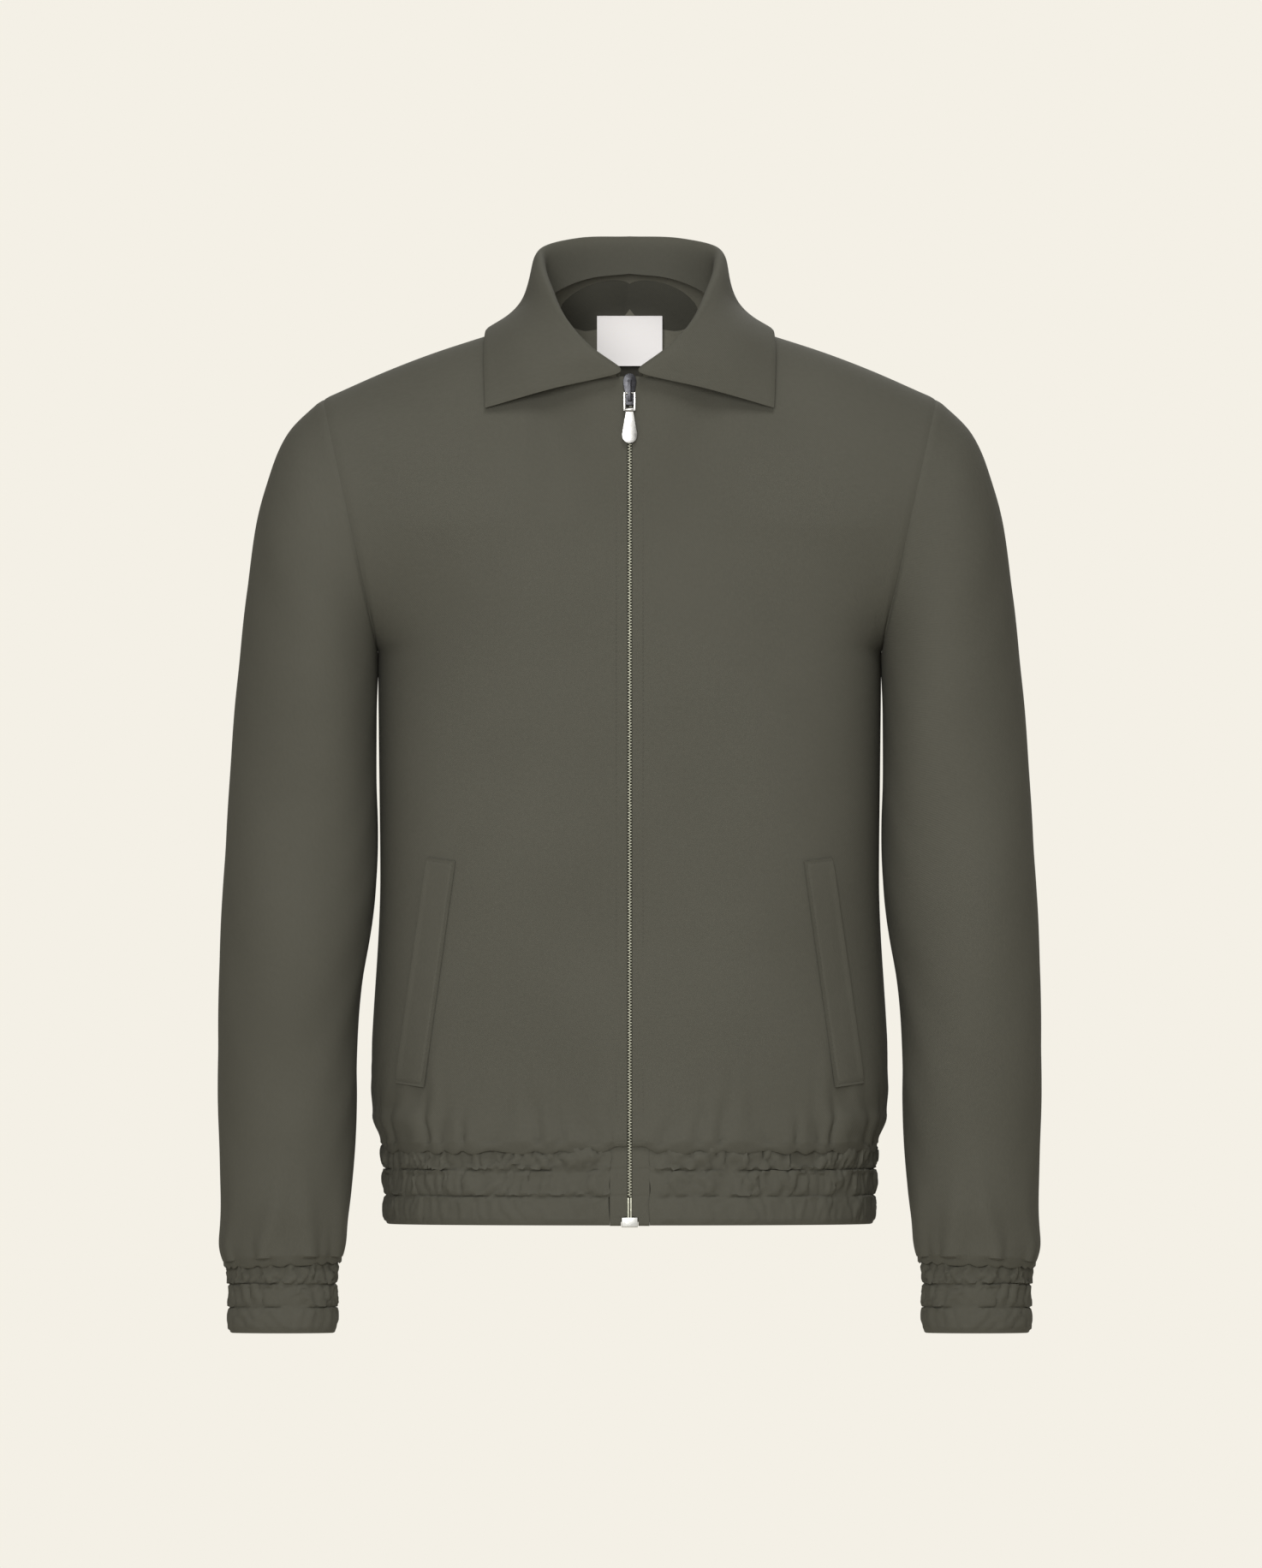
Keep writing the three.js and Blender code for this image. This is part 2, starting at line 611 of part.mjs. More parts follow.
const LABEL_TOP_Z = 17;
const labelTop = vec(0, 0, LABEL_TOP_Z);
const backMiddle = (z) => {
  const share = (z - chestZ) / (NECK_BACK_Z - chestZ);
  return mix(NECK_FRONT_Y + NECK_DEPTH, backAt(chestZ), Math.sqrt(1 - share ** 2));
};
labelTop.y = backMiddle(LABEL_TOP_Z);
const labelTilt = Math.atan2(backMiddle(LABEL_TOP_Z - LABEL_HEIGHT) - labelTop.y, LABEL_HEIGHT);
const labelMount = new THREE.Group();
labelMount.position.copy(labelTop);
labelMount.rotation.x = labelTilt;
group.add(labelMount);
const LABEL_INSET = 9.5;       // the flat label bridges the curve of the facing
const labelFace = -(CLOTH / 2 + LIGHT_CLOTH + LABEL_INSET);
const labelLow = [-LABEL_WIDTH / 2, labelFace, -LABEL_HEIGHT];
const labelHigh = [LABEL_WIDTH / 2, labelFace + LIGHT_CLOTH, 0];
add('neck_label', 'label', block(labelLow, labelHigh), labelMount);

// ---- Zip: all of it lies along the straight front edge -------------------------------------

// In this group the zip runs down from the origin along -Z, and -Y is out of the front.
const zip = new THREE.Group();
zip.position.set(0, NECK_FRONT_Y, NECK_FRONT_Z);
zip.rotation.x = -lean;
group.add(zip);

const hemEndZ = hemBandTop - HEM_HEIGHT;
const zipEnd = (hemEndZ - NECK_FRONT_Z) / Math.cos(lean);    // hem's lower edge, along the zip
const boxTop = zipEnd + BOX_HEIGHT;
const tapeFront = CLOTH / 2 + 0.3;                            // tape behind the front edges
const chainFront = -CLOTH / 2;
const chainBack = chainFront + CHAIN_THICKNESS;
const stopTop = -1.5;
const stopHeight = 2.5;
const chainTop = stopTop - stopHeight - 0.5;
const pinTop = boxTop + PIN_LENGTH;

addPair('zip_tape', 'tape',
  block([ZIP_SLOT / 2, tapeFront, boxTop + 1], [TAPE_WIDTH, tapeFront + TAPE, stopTop]), zip);

// An outline drawn in X and Y, stood up into X and Z and given a depth towards -Y.
function standUp(outline, depth, back) {
  const geometry = new THREE.ExtrudeGeometry(outline, { depth, bevelEnabled: false, curveSegments: 6 });
  return geometry.rotateX(Math.PI / 2).translate(0, back, 0);
}

// One row of teeth: a bead along the tape's edge with teeth that reach past the middle.
function teethRow(shift) {
  const beadIn = 0.9;
  const beadOut = CHAIN_WIDTH / 2;
  const reach = -0.6;
  const halfTooth = 0.19 * TOOTH_PITCH;
  const outline = new THREE.Shape();
  outline.moveTo(beadOut, pinTop + 0.5);
  outline.lineTo(beadOut, chainTop);
  outline.lineTo(beadIn, chainTop);
  const first = chainTop - TOOTH_PITCH * (0.3 + shift);
  for (let z = first; z - halfTooth > pinTop + 1; z -= TOOTH_PITCH) {
    outline.lineTo(beadIn, z + halfTooth);
    outline.lineTo(reach, z + halfTooth * 0.7);
    outline.lineTo(reach, z - halfTooth * 0.7);
    outline.lineTo(beadIn, z - halfTooth);
  }
  outline.lineTo(beadIn, pinTop + 0.5);
  outline.closePath();
  return standUp(outline, CHAIN_THICKNESS, chainBack);
}

add('left_zip_teeth', 'teeth', teethRow(0), zip);
add('right_zip_teeth', 'teeth', mirrored(teethRow(0.5)), zip);
const chainEdge = CHAIN_WIDTH / 2;
addPair('top_stop', 'teeth',
  block([0.3, chainFront, stopTop - stopHeight], [chainEdge, chainBack, stopTop]), zip);

// The pins at the foot of the chain stand in the box; the box is open on top for them.
const pinDepth = 4;
const pin = () => block([0.3, chainFront, boxTop - pinDepth], [chainEdge, chainBack, pinTop]);
add('insertion_pin', 'teeth', pin(), zip);
add('retainer_pin', 'teeth', mirrored(pin()), zip);
const boxWall = 1.2;
const boxGap = 0.3;
const boxFront = chainFront - boxWall - boxGap;
const boxBack = chainBack + boxWall + boxGap;
const boxShape = block([-BOX_WIDTH / 2, boxFront, boxTop - BOX_HEIGHT - 1], [BOX_WIDTH / 2, boxBack, boxTop]);
const pinSocket = block(
  [-chainEdge - boxGap, chainFront - boxGap, boxTop - pinDepth - boxGap],
  [chainEdge + boxGap, chainBack + boxGap, boxTop + 1],
);
add('retainer_box', 'retainer', cut(boxShape, pinSocket), zip);

// Slider: a front plate with an arch for the pull, and a back plate behind the tapes.
const sliderTop = 2;
const sliderLow = sliderTop - SLIDER_LENGTH;
const sliderClear = LAYER_GAP;
const plateBack = chainFront - sliderClear;
const plateFront = plateBack - SLIDER_PLATE;
const archZ = [sliderTop - 5, sliderTop - 21];
const archThick = 1.2;
const archWidth = 2.6;
const wireY = plateFront - 0.5 - PULL_WIRE / 2;
const archFront = wireY - PULL_WIRE / 2 - 0.5 - archThick;
const pullZ = sliderTop - 15;

function sliderOutline() {
  const shoulder = SLIDER_WIDTH / 2;
  const waist = shoulder * 0.78;
  const outline = new THREE.Shape();
  outline.moveTo(-waist + 1, sliderLow);
  outline.lineTo(waist - 1, sliderLow);
  outline.quadraticCurveTo(waist, sliderLow, waist, sliderLow + 2);
  outline.lineTo(waist, sliderLow + SLIDER_LENGTH * 0.45);
  outline.lineTo(shoulder, sliderTop - SLIDER_LENGTH * 0.3);
  outline.quadraticCurveTo(shoulder, sliderTop, 0, sliderTop);
  outline.quadraticCurveTo(-shoulder, sliderTop, -shoulder, sliderTop - SLIDER_LENGTH * 0.3);
  outline.lineTo(-waist, sliderLow + SLIDER_LENGTH * 0.45);
  outline.lineTo(-waist, sliderLow + 2);
  outline.quadraticCurveTo(-waist, sliderLow, -waist + 1, sliderLow);
  return outline;
}

const archHalf = archWidth / 2;
const archBlock = block([-archHalf, archFront, archZ[1]], [archHalf, plateFront + 0.5, archZ[0]]);
const archOpening = block(
  [-archHalf - 1, archFront + archThick, archZ[1] + archThick],
  [archHalf + 1, plateFront, archZ[0] - archThick],
);
add('slider_body', 'slider',
  joined(standUp(sliderOutline(), SLIDER_PLATE, plateBack), cut(archBlock, archOpening)), zip);
add('slider_back_plate', 'slider',
  standUp(sliderOutline(), SLIDER_PLATE, chainBack + sliderClear + SLIDER_PLATE), zip);

// Pull: a wire stirrup through the arch, and a tab on the stirrup's lower bar.
const tabZ = pullZ - LINK_LENGTH;
const armX = LINK_WIDTH / 2 - PULL_WIRE / 2;
const arm = (side) => block(
  [side * armX - PULL_WIRE / 2, wireY - PULL_WIRE / 2, tabZ - PULL_WIRE / 2],
  [side * armX + PULL_WIRE / 2, wireY + PULL_WIRE / 2, pullZ + PULL_WIRE / 2],
);
const bar = (z) => rod(PULL_WIRE / 2, LINK_WIDTH - PULL_WIRE, wireY, z);
add('pull_link', 'pull', joined(arm(-1), arm(1), bar(pullZ), bar(tabZ)), zip);

const eyeBore = PULL_WIRE / 2 + 0.35;
const eyeRadius = eyeBore + 0.75;
const eyeLength = LINK_WIDTH - 2 * PULL_WIRE - 0.8;
const tabThick = 1.4;

function tabOutline() {
  const half = TAB_WIDTH / 2;
  const low = tabZ - TAB_LENGTH;
  const outline = new THREE.Shape();
  outline.moveTo(-eyeLength / 2, tabZ - eyeBore - 0.3);
  outline.lineTo(-half, low + half * 1.3);
  outline.absarc(0, low + half, half, Math.PI, 2 * Math.PI, false);
  outline.lineTo(half, low + half * 1.3);
  outline.lineTo(eyeLength / 2, tabZ - eyeBore - 0.3);
  outline.closePath();
  return outline;
}

const tabEye = joined(rod(eyeRadius, eyeLength, wireY, tabZ),
  standUp(tabOutline(), tabThick, wireY + tabThick / 2));
add('pull_tab', 'pull', cut(tabEye, rod(eyeBore, eyeLength + 2, wireY, tabZ)), zip);

// ---- Beside the zip: hem tabs and facings -------------------------------------------------

// In the zip's group: a folded strip from the hem seam down, cut away where the slider's back
// plate runs and where the box sits.
const backClear = ZIP_SLOT / 2 + SLIDER_WIDTH / 2 - 0.5;
const tabTopZ = (hemBandTop - NECK_FRONT_Z) / Math.cos(lean);
const innerWall = tapeFront + TAPE + LAYER_GAP + CLOTH / 2;

function hemTab() {
  const tabLine = [
    [0, tabTopZ],
    [0, zipEnd + CLOTH * 1.5],
    [innerWall / 2, zipEnd + CLOTH / 2],
    [innerWall, zipEnd + CLOTH * 1.5],
    [innerWall, tabTopZ],
  ];
  const place = (u, y, z) => vec(mix(ZIP_SLOT / 2, HEM_TAB_WIDTH, u), y, z);
  const strip = band(thickened(tabLine, CLOTH), 1, place);
  const plateWay = block(
    [0, CLOTH / 2 + 0.2, zipEnd + CLOTH * 2],
    [backClear, innerWall + CLOTH, tabTopZ + 1],
  );
  const boxWay = block(
    [0, boxFront - boxGap, zipEnd - 2],
    [BOX_WIDTH / 2 + boxGap, boxBack + boxGap, boxTop + boxGap],
  );
  return cut(strip, plateWay, boxWay);
}

addPair('hem_tab', 'shell', hemTab(), zip);

// The front facing lies behind the tape, over the front's first two columns.
const facingEdge = 0.55 / FRONT_COLUMNS;
const facing = (u, v) => frontHalf(
  u < 0.5 ? mix(facingEdge, 1 / FRONT_COLUMNS, u * 2) : mix(1, 2, u * 2 - 1) / FRONT_COLUMNS,
  v * (PANEL_ROWS - 1) / PANEL_ROWS,
);
const frontFacingLift = -(tapeFront + TAPE + LAYER_GAP + LIGHT_CLOTH / 2);
addPair('front_facing', 'lining',
  clothLayer(facing, 2, PANEL_ROWS - 1, { thickness: LIGHT_CLOTH, lift: frontFacingLift }));

// ---- Pockets ------------------------------------------------------------------------------

// The welt lies over the front, its outer edge along the pocket mouth.
const weltLift = CLOTH / 2 + LAYER_GAP + CLOTH / 2;
const weltBottom = [BLOUSE_WIDTH / 2 - POCKET_LOW_IN, mix(hemSeamZ, armpit.z, POCKET_LOW)];
const weltTop = [BLOUSE_WIDTH / 2 - POCKET_IN, mix(hemSeamZ, armpit.z, POCKET_HIGH)];
const weltSlant = Math.atan2(weltBottom[0] - weltTop[0], weltTop[1] - weltBottom[1]);

function pocketPlace(along, inwards, lift) {
  const x = mix(weltTop[0], weltBottom[0], along) - inwards * Math.cos(weltSlant);
  const z = mix(weltTop[1], weltBottom[1], along) - inwards * Math.sin(weltSlant);
  return bodyFront(x, z, lift);
}

addPair('pocket_welt', 'shell',
  clothLayer((u, v) => pocketPlace(1 - v, mix(WELT_WIDTH, 0, u), weltLift), 3, 8));

const BAG_THICKNESS = 1.6;
const BAG_INSET = 2;           // the bag hangs a little behind the front
const bagLift = -(CLOTH / 2 + LAYER_GAP + BAG_THICKNESS / 2 + BAG_INSET);
addPair('pocket_bag', 'lining',
  clothLayer((u, v) => pocketPlace(mix(1.04, 0.02, v), mix(BAG_DEPTH, 3, u), bagLift), 6, 8,
    { thickness: BAG_THICKNESS }));

export default group;
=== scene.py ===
"""A man's zip-front blouson jacket with a turn-down collar and gathered hem and cuffs.

Cloth shapes are worked out in millimetres and turned to metres as each mesh is made.
"""
import json
import math

import bmesh
import bpy
import numpy as np
from mathutils import Matrix, Vector, noise


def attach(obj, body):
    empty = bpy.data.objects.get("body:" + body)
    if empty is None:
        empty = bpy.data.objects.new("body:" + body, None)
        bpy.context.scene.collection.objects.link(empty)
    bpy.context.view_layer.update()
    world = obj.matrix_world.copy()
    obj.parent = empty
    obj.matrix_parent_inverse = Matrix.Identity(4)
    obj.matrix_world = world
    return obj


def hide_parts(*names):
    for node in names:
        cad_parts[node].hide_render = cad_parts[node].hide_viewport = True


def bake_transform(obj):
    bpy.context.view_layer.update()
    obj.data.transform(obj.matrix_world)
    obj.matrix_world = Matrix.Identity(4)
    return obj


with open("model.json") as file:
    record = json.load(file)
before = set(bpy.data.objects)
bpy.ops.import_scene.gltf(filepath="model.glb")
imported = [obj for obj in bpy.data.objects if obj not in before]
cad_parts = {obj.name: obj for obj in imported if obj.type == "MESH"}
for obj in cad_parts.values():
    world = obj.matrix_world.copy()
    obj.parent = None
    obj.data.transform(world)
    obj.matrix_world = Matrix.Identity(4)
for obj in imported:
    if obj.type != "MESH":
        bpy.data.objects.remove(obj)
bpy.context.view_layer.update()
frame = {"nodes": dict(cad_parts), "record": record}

# ==== Studio ========================================================================
# A pale round floor below the jacket, a cream surround, and large soft lamps in front,
# above and behind, so that the cloth is lit evenly and its folds still show.

MM = 0.001


def linear(hex_colour, alpha=True):
    """An sRGB hex colour as linear light."""
    parts = [int(hex_colour[i:i + 2], 16) / 255 for i in (1, 3, 5)]
    light = [p / 12.92 if p <= 0.04045 else ((p + 0.055) / 1.055) ** 2.4 for p in parts]
    return tuple(light) + ((1.0,) if alpha else ())


def node(tree, kind, settings=None, inputs=None, links=None):
    """One shader node with its settings, its input values and the sockets that feed it."""
    made = tree.nodes.new(kind)
    for key, value in (settings or {}).items():
        setattr(made, key, value)
    for key, value in (inputs or {}).items():
        made.inputs[key].default_value = value
    for key, source in (links or {}).items():
        tree.links.new(source, made.inputs[key])
    return made


FLOOR_Z = -1.2
FLOOR_RADIUS = 2.4
bpy.ops.object.select_all(action="DESELECT")
bpy.ops.mesh.primitive_cylinder_add(vertices=128, radius=FLOOR_RADIUS, depth=0.02,
                                    location=(0, 0, FLOOR_Z - 0.01))
bpy.ops.object.transform_apply(location=True, rotation=True, scale=True)
floor = bpy.context.object
floor.name = "studio_floor"
floor_paint = bpy.data.materials.new("matt_cream_paint")
floor_paint.use_nodes = True
floor_shader = floor_paint.node_tree.nodes["Principled BSDF"]
floor_shader.inputs["Base Color"].default_value = linear("#EFEBE1")
floor_shader.inputs["Roughness"].default_value = 0.9
floor.data.materials.append(floor_paint)

surround = bpy.data.worlds.new("cream_surround")
surround.use_nodes = True
sky = surround.node_tree
CREAM = linear("#F4F0E6")
GLOW_STRENGTH = 0.46      # light that the surround casts, less than what the camera sees
seen = sky.nodes["Background"]
seen.inputs["Color"].default_value = CREAM
glow = node(sky, "ShaderNodeBackground", None, {"Color": CREAM, "Strength": GLOW_STRENGTH})
ray = node(sky, "ShaderNodeLightPath")
seen_or_glow = node(sky, "ShaderNodeMixShader")
sky.links.new(ray.outputs["Is Camera Ray"], seen_or_glow.inputs[0])
sky.links.new(glow.outputs[0], seen_or_glow.inputs[1])
sky.links.new(seen.outputs[0], seen_or_glow.inputs[2])
sky.links.new(seen_or_glow.outputs[0], sky.nodes["World Output"].inputs["Surface"])
bpy.context.scene.world = surround
bpy.context.scene.view_settings.view_transform = "Standard"

LAMPS = [
    ("top_lamp", (0.3, -1.7, 2.4), 1.2, 44),
    ("front_lamp", (-0.5, -3.4, 0.5), 1.3, 74),
    ("back_lamp", (0.4, 2.8, 1.8), 2.0, 46),
]
for lamp_name, place, size, power in LAMPS:
    lamp_data = bpy.data.lights.new(lamp_name, "AREA")
    lamp_data.size = size
    lamp_data.energy = power
    lamp = bpy.data.objects.new(lamp_name, lamp_data)
    lamp.location = place
    aim = Vector((0, 0, -0.35)) - Vector(place)
    lamp.rotation_euler = aim.to_track_quat("-Z", "Y").to_euler()
    bpy.context.collection.objects.link(lamp)

CAMERA_DISTANCE = 30.0
VIEW_HEIGHT = 1.1725      # height that the camera takes in at the jacket
VIEW_MIDDLE_Z = -0.338
camera_data = bpy.data.cameras.new("camera")
camera_data.sensor_width = 36
camera_data.lens = 36 * CAMERA_DISTANCE / VIEW_HEIGHT
camera = bpy.data.objects.new("camera", camera_data)
camera.location = (0.001, -CAMERA_DISTANCE - 0.09, VIEW_MIDDLE_Z)
camera.rotation_euler = (math.pi / 2, 0, 0)
bpy.context.collection.objects.link(camera)
bpy.context.scene.camera = camera

# ==== Fronts and back ===============================================================
# Two fronts and one back of a light, dense cotton twill, cut full so that they bag out
# above the hem, with a dark lining inside. The edges are turned in and sewn together.

CLOTH = 1.2
CLOTH_COLOUR = "#4A4941"
CLOTH_LOW_COLOUR = "#46453D"
LINING_COLOUR = "#4A4840"
TWILL_PITCH = 1.1         # mm between twill ribs: twice the real one, so that it shows


def mix(a, b, t):
    return a + (b - a) * t


def smooth(t):
    """Eases from 0 to 1."""
    c = np.clip(t, 0, 1)
    return c * c * (3 - 2 * c)


def eased(stations, z):
    """Value at height z between stations (height, value), eased from one to the next."""
    heights, values = np.array(sorted(stations), float).T
    z = np.clip(z, heights[0], heights[-1])
    i = np.clip(np.searchsorted(heights, z) - 1, 0, len(heights) - 2)
    share = smooth((z - heights[i]) / (heights[i + 1] - heights[i]))
    return mix(values[i], values[i + 1], share)


def lumps(x, y, seed):
    """Soft seeded noise from -1 to 1 at points of the plane."""
    flat = zip(np.ravel(x).tolist(), np.ravel(y).tolist())
    values = [noise.noise(Vector((a, b, seed * 7.31))) for a, b in flat]
    return np.array(values).reshape(np.shape(x))


def crests(phase):
    """Rounded crests from 0 to 1 with narrow valleys, one for each whole turn of phase."""
    return np.sqrt(np.sin(np.pi * phase) ** 2 + 0.03) / 1.015


def grid_normals(points, closed=False):
    """Unit normals of a grid of points (rows, columns, 3), out of its right side."""
    if closed:
        wide = np.concatenate([points[:, -1:], points, points[:, :1]], axis=1)
        across = (wide[:, 2:] - wide[:, :-2])
    else:
        across = np.gradient(points, axis=1)
    along = np.gradient(points, axis=0)
    normals = np.cross(across, along)
    return normals / np.maximum(np.linalg.norm(normals, axis=2, keepdims=True), 1e-9)


def grid_object(name, points, closed=False, turned=False):
    """A mesh from a grid of points in millimetres, with its cut size as its UV map."""
    rows, columns = points.shape[:2]
    index = np.arange(rows * columns).reshape(rows, columns)
    right = np.roll(index, -1, axis=1) if closed else index[:, 1:]
    left = index if closed else index[:, :-1]
    quads = np.stack([left[:-1], right[:-1], right[1:], left[1:]], axis=-1).reshape(-1, 4)
    if turned:
        quads = quads[:, ::-1]
    mesh = bpy.data.meshes.new(name)
    mesh.from_pydata((points.reshape(-1, 3) * MM).tolist(), [], quads.tolist())
    middle = points[rows // 2]
    widths = np.linalg.norm(np.diff(middle, axis=0), axis=1)
    lengths = np.linalg.norm(np.diff(points[:, columns // 2], axis=0), axis=1)
    u = np.concatenate([[0], np.cumsum(widths)])
    v = np.concatenate([[0], np.cumsum(lengths)])
    if closed:
        u = np.append(u, u[-1] + widths.mean())
    uv = mesh.uv_layers.new(name="cut")
    first = np.arange(len(quads)) % (columns if closed else columns - 1)
    row = np.arange(len(quads)) // (columns if closed else columns - 1)
    corners = np.stack([
        np.stack([u[first], v[row]], -1), np.stack([u[first + 1], v[row]], -1),
        np.stack([u[first + 1], v[row + 1]], -1), np.stack([u[first], v[row + 1]], -1),
    ], axis=1)
    if turned:
        corners = corners[:, ::-1]
    uv.data.foreach_set("uv", (corners * MM).reshape(-1).astype(np.float32))
    mesh.validate()
    made = bpy.data.objects.new(name, mesh)
    bpy.context.collection.objects.link(made)
    return made


def finish_cloth(piece, thickness, outside, inside=None):
    """Gives a sheet its thickness about its middle, smooth shading and its finishes."""
    bpy.ops.object.select_all(action="DESELECT")
    bpy.context.view_layer.objects.active = piece
    piece.select_set(True)
    piece.data.materials.append(outside)
    piece.data.materials.append(inside or outside)
    thicken = piece.modifiers.new("thickness", "SOLIDIFY")
    thicken.thickness = thickness * MM
    thicken.offset = 0
    thicken.material_offset = 1
    thicken.material_offset_rim = 0
    bpy.ops.object.modifier_apply(modifier=thicken.name)
    bpy.ops.object.shade_smooth_by_angle(angle=math.radians(60))
    return piece


def mirrored(points):
    """The same grid on the wearer's other side, still facing out."""
    return points[:, ::-1] * np.array([-1, 1, 1])


def sew_in(piece, stands_for, body, points):
    """Says which CAD nodes a cloth piece stands for and what it rides on; points, for how it is
    held, is not used.
    """
    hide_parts(*stands_for)
    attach(piece, body)


def woven(name, colour, low_colour, pitch, rib_height, sheen):
    """A woven cloth: diagonal twill ribs, uneven threads and soft, cloudy shade changes."""
    material = bpy.data.materials.new(name)
    material.use_nodes = True
    tree = material.node_tree
    shader = tree.nodes["Principled BSDF"]
    cut = node(tree, "ShaderNodeUVMap", {"uv_map": "cut"}).outputs["UV"]
    place = node(tree, "ShaderNodeTexCoord").outputs["Object"]
    clouds = node(tree, "ShaderNodeTexNoise", None,
                  {"Scale": 9.0, "Detail": 3.0}, {"Vector": place})
    threads = node(tree, "ShaderNodeTexNoise", None,
                   {"Scale": 1 / (3 * pitch * MM), "Detail": 2.0}, {"Vector": cut})
    both = node(tree, "ShaderNodeMix", {"data_type": "FLOAT"}, {"Factor": 0.35},
                {"A": clouds.outputs["Fac"], "B": threads.outputs["Fac"]})
    shades = node(tree, "ShaderNodeMapRange", None,
                  {"From Min": 0.35, "From Max": 0.65}, {"Value": both.outputs["Result"]})
    tone = node(tree, "ShaderNodeMix", {"data_type": "RGBA"}, None,
                {"Factor": shades.outputs["Result"]})
    tone.inputs["A"].default_value = linear(low_colour)
    tone.inputs["B"].default_value = linear(colour)
    tree.links.new(tone.outputs["Result"], shader.inputs["Base Color"])
    diagonal = 2 * math.pi / (10 * math.sqrt(2) * pitch * MM)
    ribs = node(tree, "ShaderNodeTexWave", {"bands_direction": "DIAGONAL"},
                {"Scale": diagonal, "Distortion": 0.6, "Detail": 1.0}, {"Vector": cut})
    weave = node(tree, "ShaderNodeBump", None,
                 {"Strength": 0.5, "Distance": rib_height * MM},
                 {"Height": ribs.outputs["Fac"]})
    slubs = node(tree, "ShaderNodeBump", None,
                 {"Strength": 0.3, "Distance": rib_height * 2 * MM},
                 {"Height": threads.outputs["Fac"], "Normal": weave.outputs["Normal"]})
    tree.links.new(slubs.outputs["Normal"], shader.inputs["Normal"])
    shader.inputs["Roughness"].default_value = 0.86
    shader.inputs["IOR"].default_value = 1.5
    shader.inputs["Specular IOR Level"].default_value = 0.25
    shader.inputs["Sheen Weight"].default_value = sheen
    shader.inputs["Sheen Roughness"].default_value = 0.5
    shader.inputs["Sheen Tint"].default_value = linear(colour)
    return material


# Cotton twill: matt, with a slight bloom at grazing angles from its raised fibres.
twill = woven("olive_cotton_twill", CLOTH_COLOUR, CLOTH_LOW_COLOUR, TWILL_PITCH, 0.12, 0.12)
# Lining: a plain, closer and darker viscose twill, a little smoother than the shell.
lining = woven("dark_viscose_lining", LINING_COLOUR, "#44423A", 0.7, 0.06, 0.05)
lining.node_tree.nodes["Principled BSDF"].inputs["Roughness"].default_value = 0.6

NECK_WIDTH = 150
NECK_DEPTH = 140
NECK_FRONT_Z = -33
NECK_BACK_Z = 47
NECK_FRONT_Y = -80
SHOULDER_X = 230
SHOULDER_Z = -50
ARMPIT_X = 188
ARMPIT_Z = SHOULDER_Z - 188
CHEST_Z = (SHOULDER_Z + ARMPIT_Z) / 2
ARMHOLE_DEPTH = 136
SHOULDER_ARCH = 4
HEM_SEAM_Z = -606
HEM_HEIGHT = 61
HEM_WIDTH = 364
BLOUSE_WIDTH = 386
BACK_DEPTH = 114
LEAN = math.radians(4.3)
SQUARENESS = 2.3          # exponent of the body's rounded-rectangle section
ZIP_SLOT = 4
PLACKET = 15              # flat strip beside the zip
NECK_SHARE = 1 / 3
ARMPIT_V = 0.58
CHEST_V = 0.74
HALF_WIDTHS = [(ARMPIT_Z, ARMPIT_X), (ARMPIT_Z - 170, ARMPIT_X - 1.5),
               (HEM_SEAM_Z + 44, BLOUSE_WIDTH / 2), (HEM_SEAM_Z + 20, BLOUSE_WIDTH / 2 - 2),
               (HEM_SEAM_Z, HEM_WIDTH / 2)]
BACK_DEPTHS = [(CHEST_Z, BACK_DEPTH - 2), (ARMPIT_Z, BACK_DEPTH),
               (ARMPIT_Z - 160, BACK_DEPTH - 3), (HEM_SEAM_Z + 44, BACK_DEPTH + 7),
               (HEM_SEAM_Z, BACK_DEPTH - 2), (HEM_SEAM_Z - HEM_HEIGHT, BACK_DEPTH)]


def front_edge_y(z):
    return NECK_FRONT_Y - (NECK_FRONT_Z - z) * math.tan(LEAN)


def section_share(x, half_width, flat):
    """Depth of a rounded-rectangle section at x, as a share of its middle depth."""
    share = np.clip((np.abs(x) - flat) / (half_width - flat), 0, 1)
    return (1 - share ** SQUARENESS) ** (1 / SQUARENESS)


def neck_seam(angle):
    """The collar seam: a tilted ellipse with a flat front, angle 0 in front."""
    x = NECK_WIDTH / 2 * np.sin(angle)
    share = np.clip((np.abs(x) - PLACKET) / (NECK_WIDTH / 2 - PLACKET), 0, 1)
    along = np.where(angle < math.pi / 2, np.sqrt(1 - share ** 2), np.cos(angle))
    y = NECK_FRONT_Y + NECK_DEPTH / 2 - NECK_DEPTH / 2 * along
    z = (NECK_FRONT_Z + NECK_BACK_Z) / 2 - (NECK_BACK_Z - NECK_FRONT_Z) / 2 * along
    return np.stack([x, y, z], axis=-1)


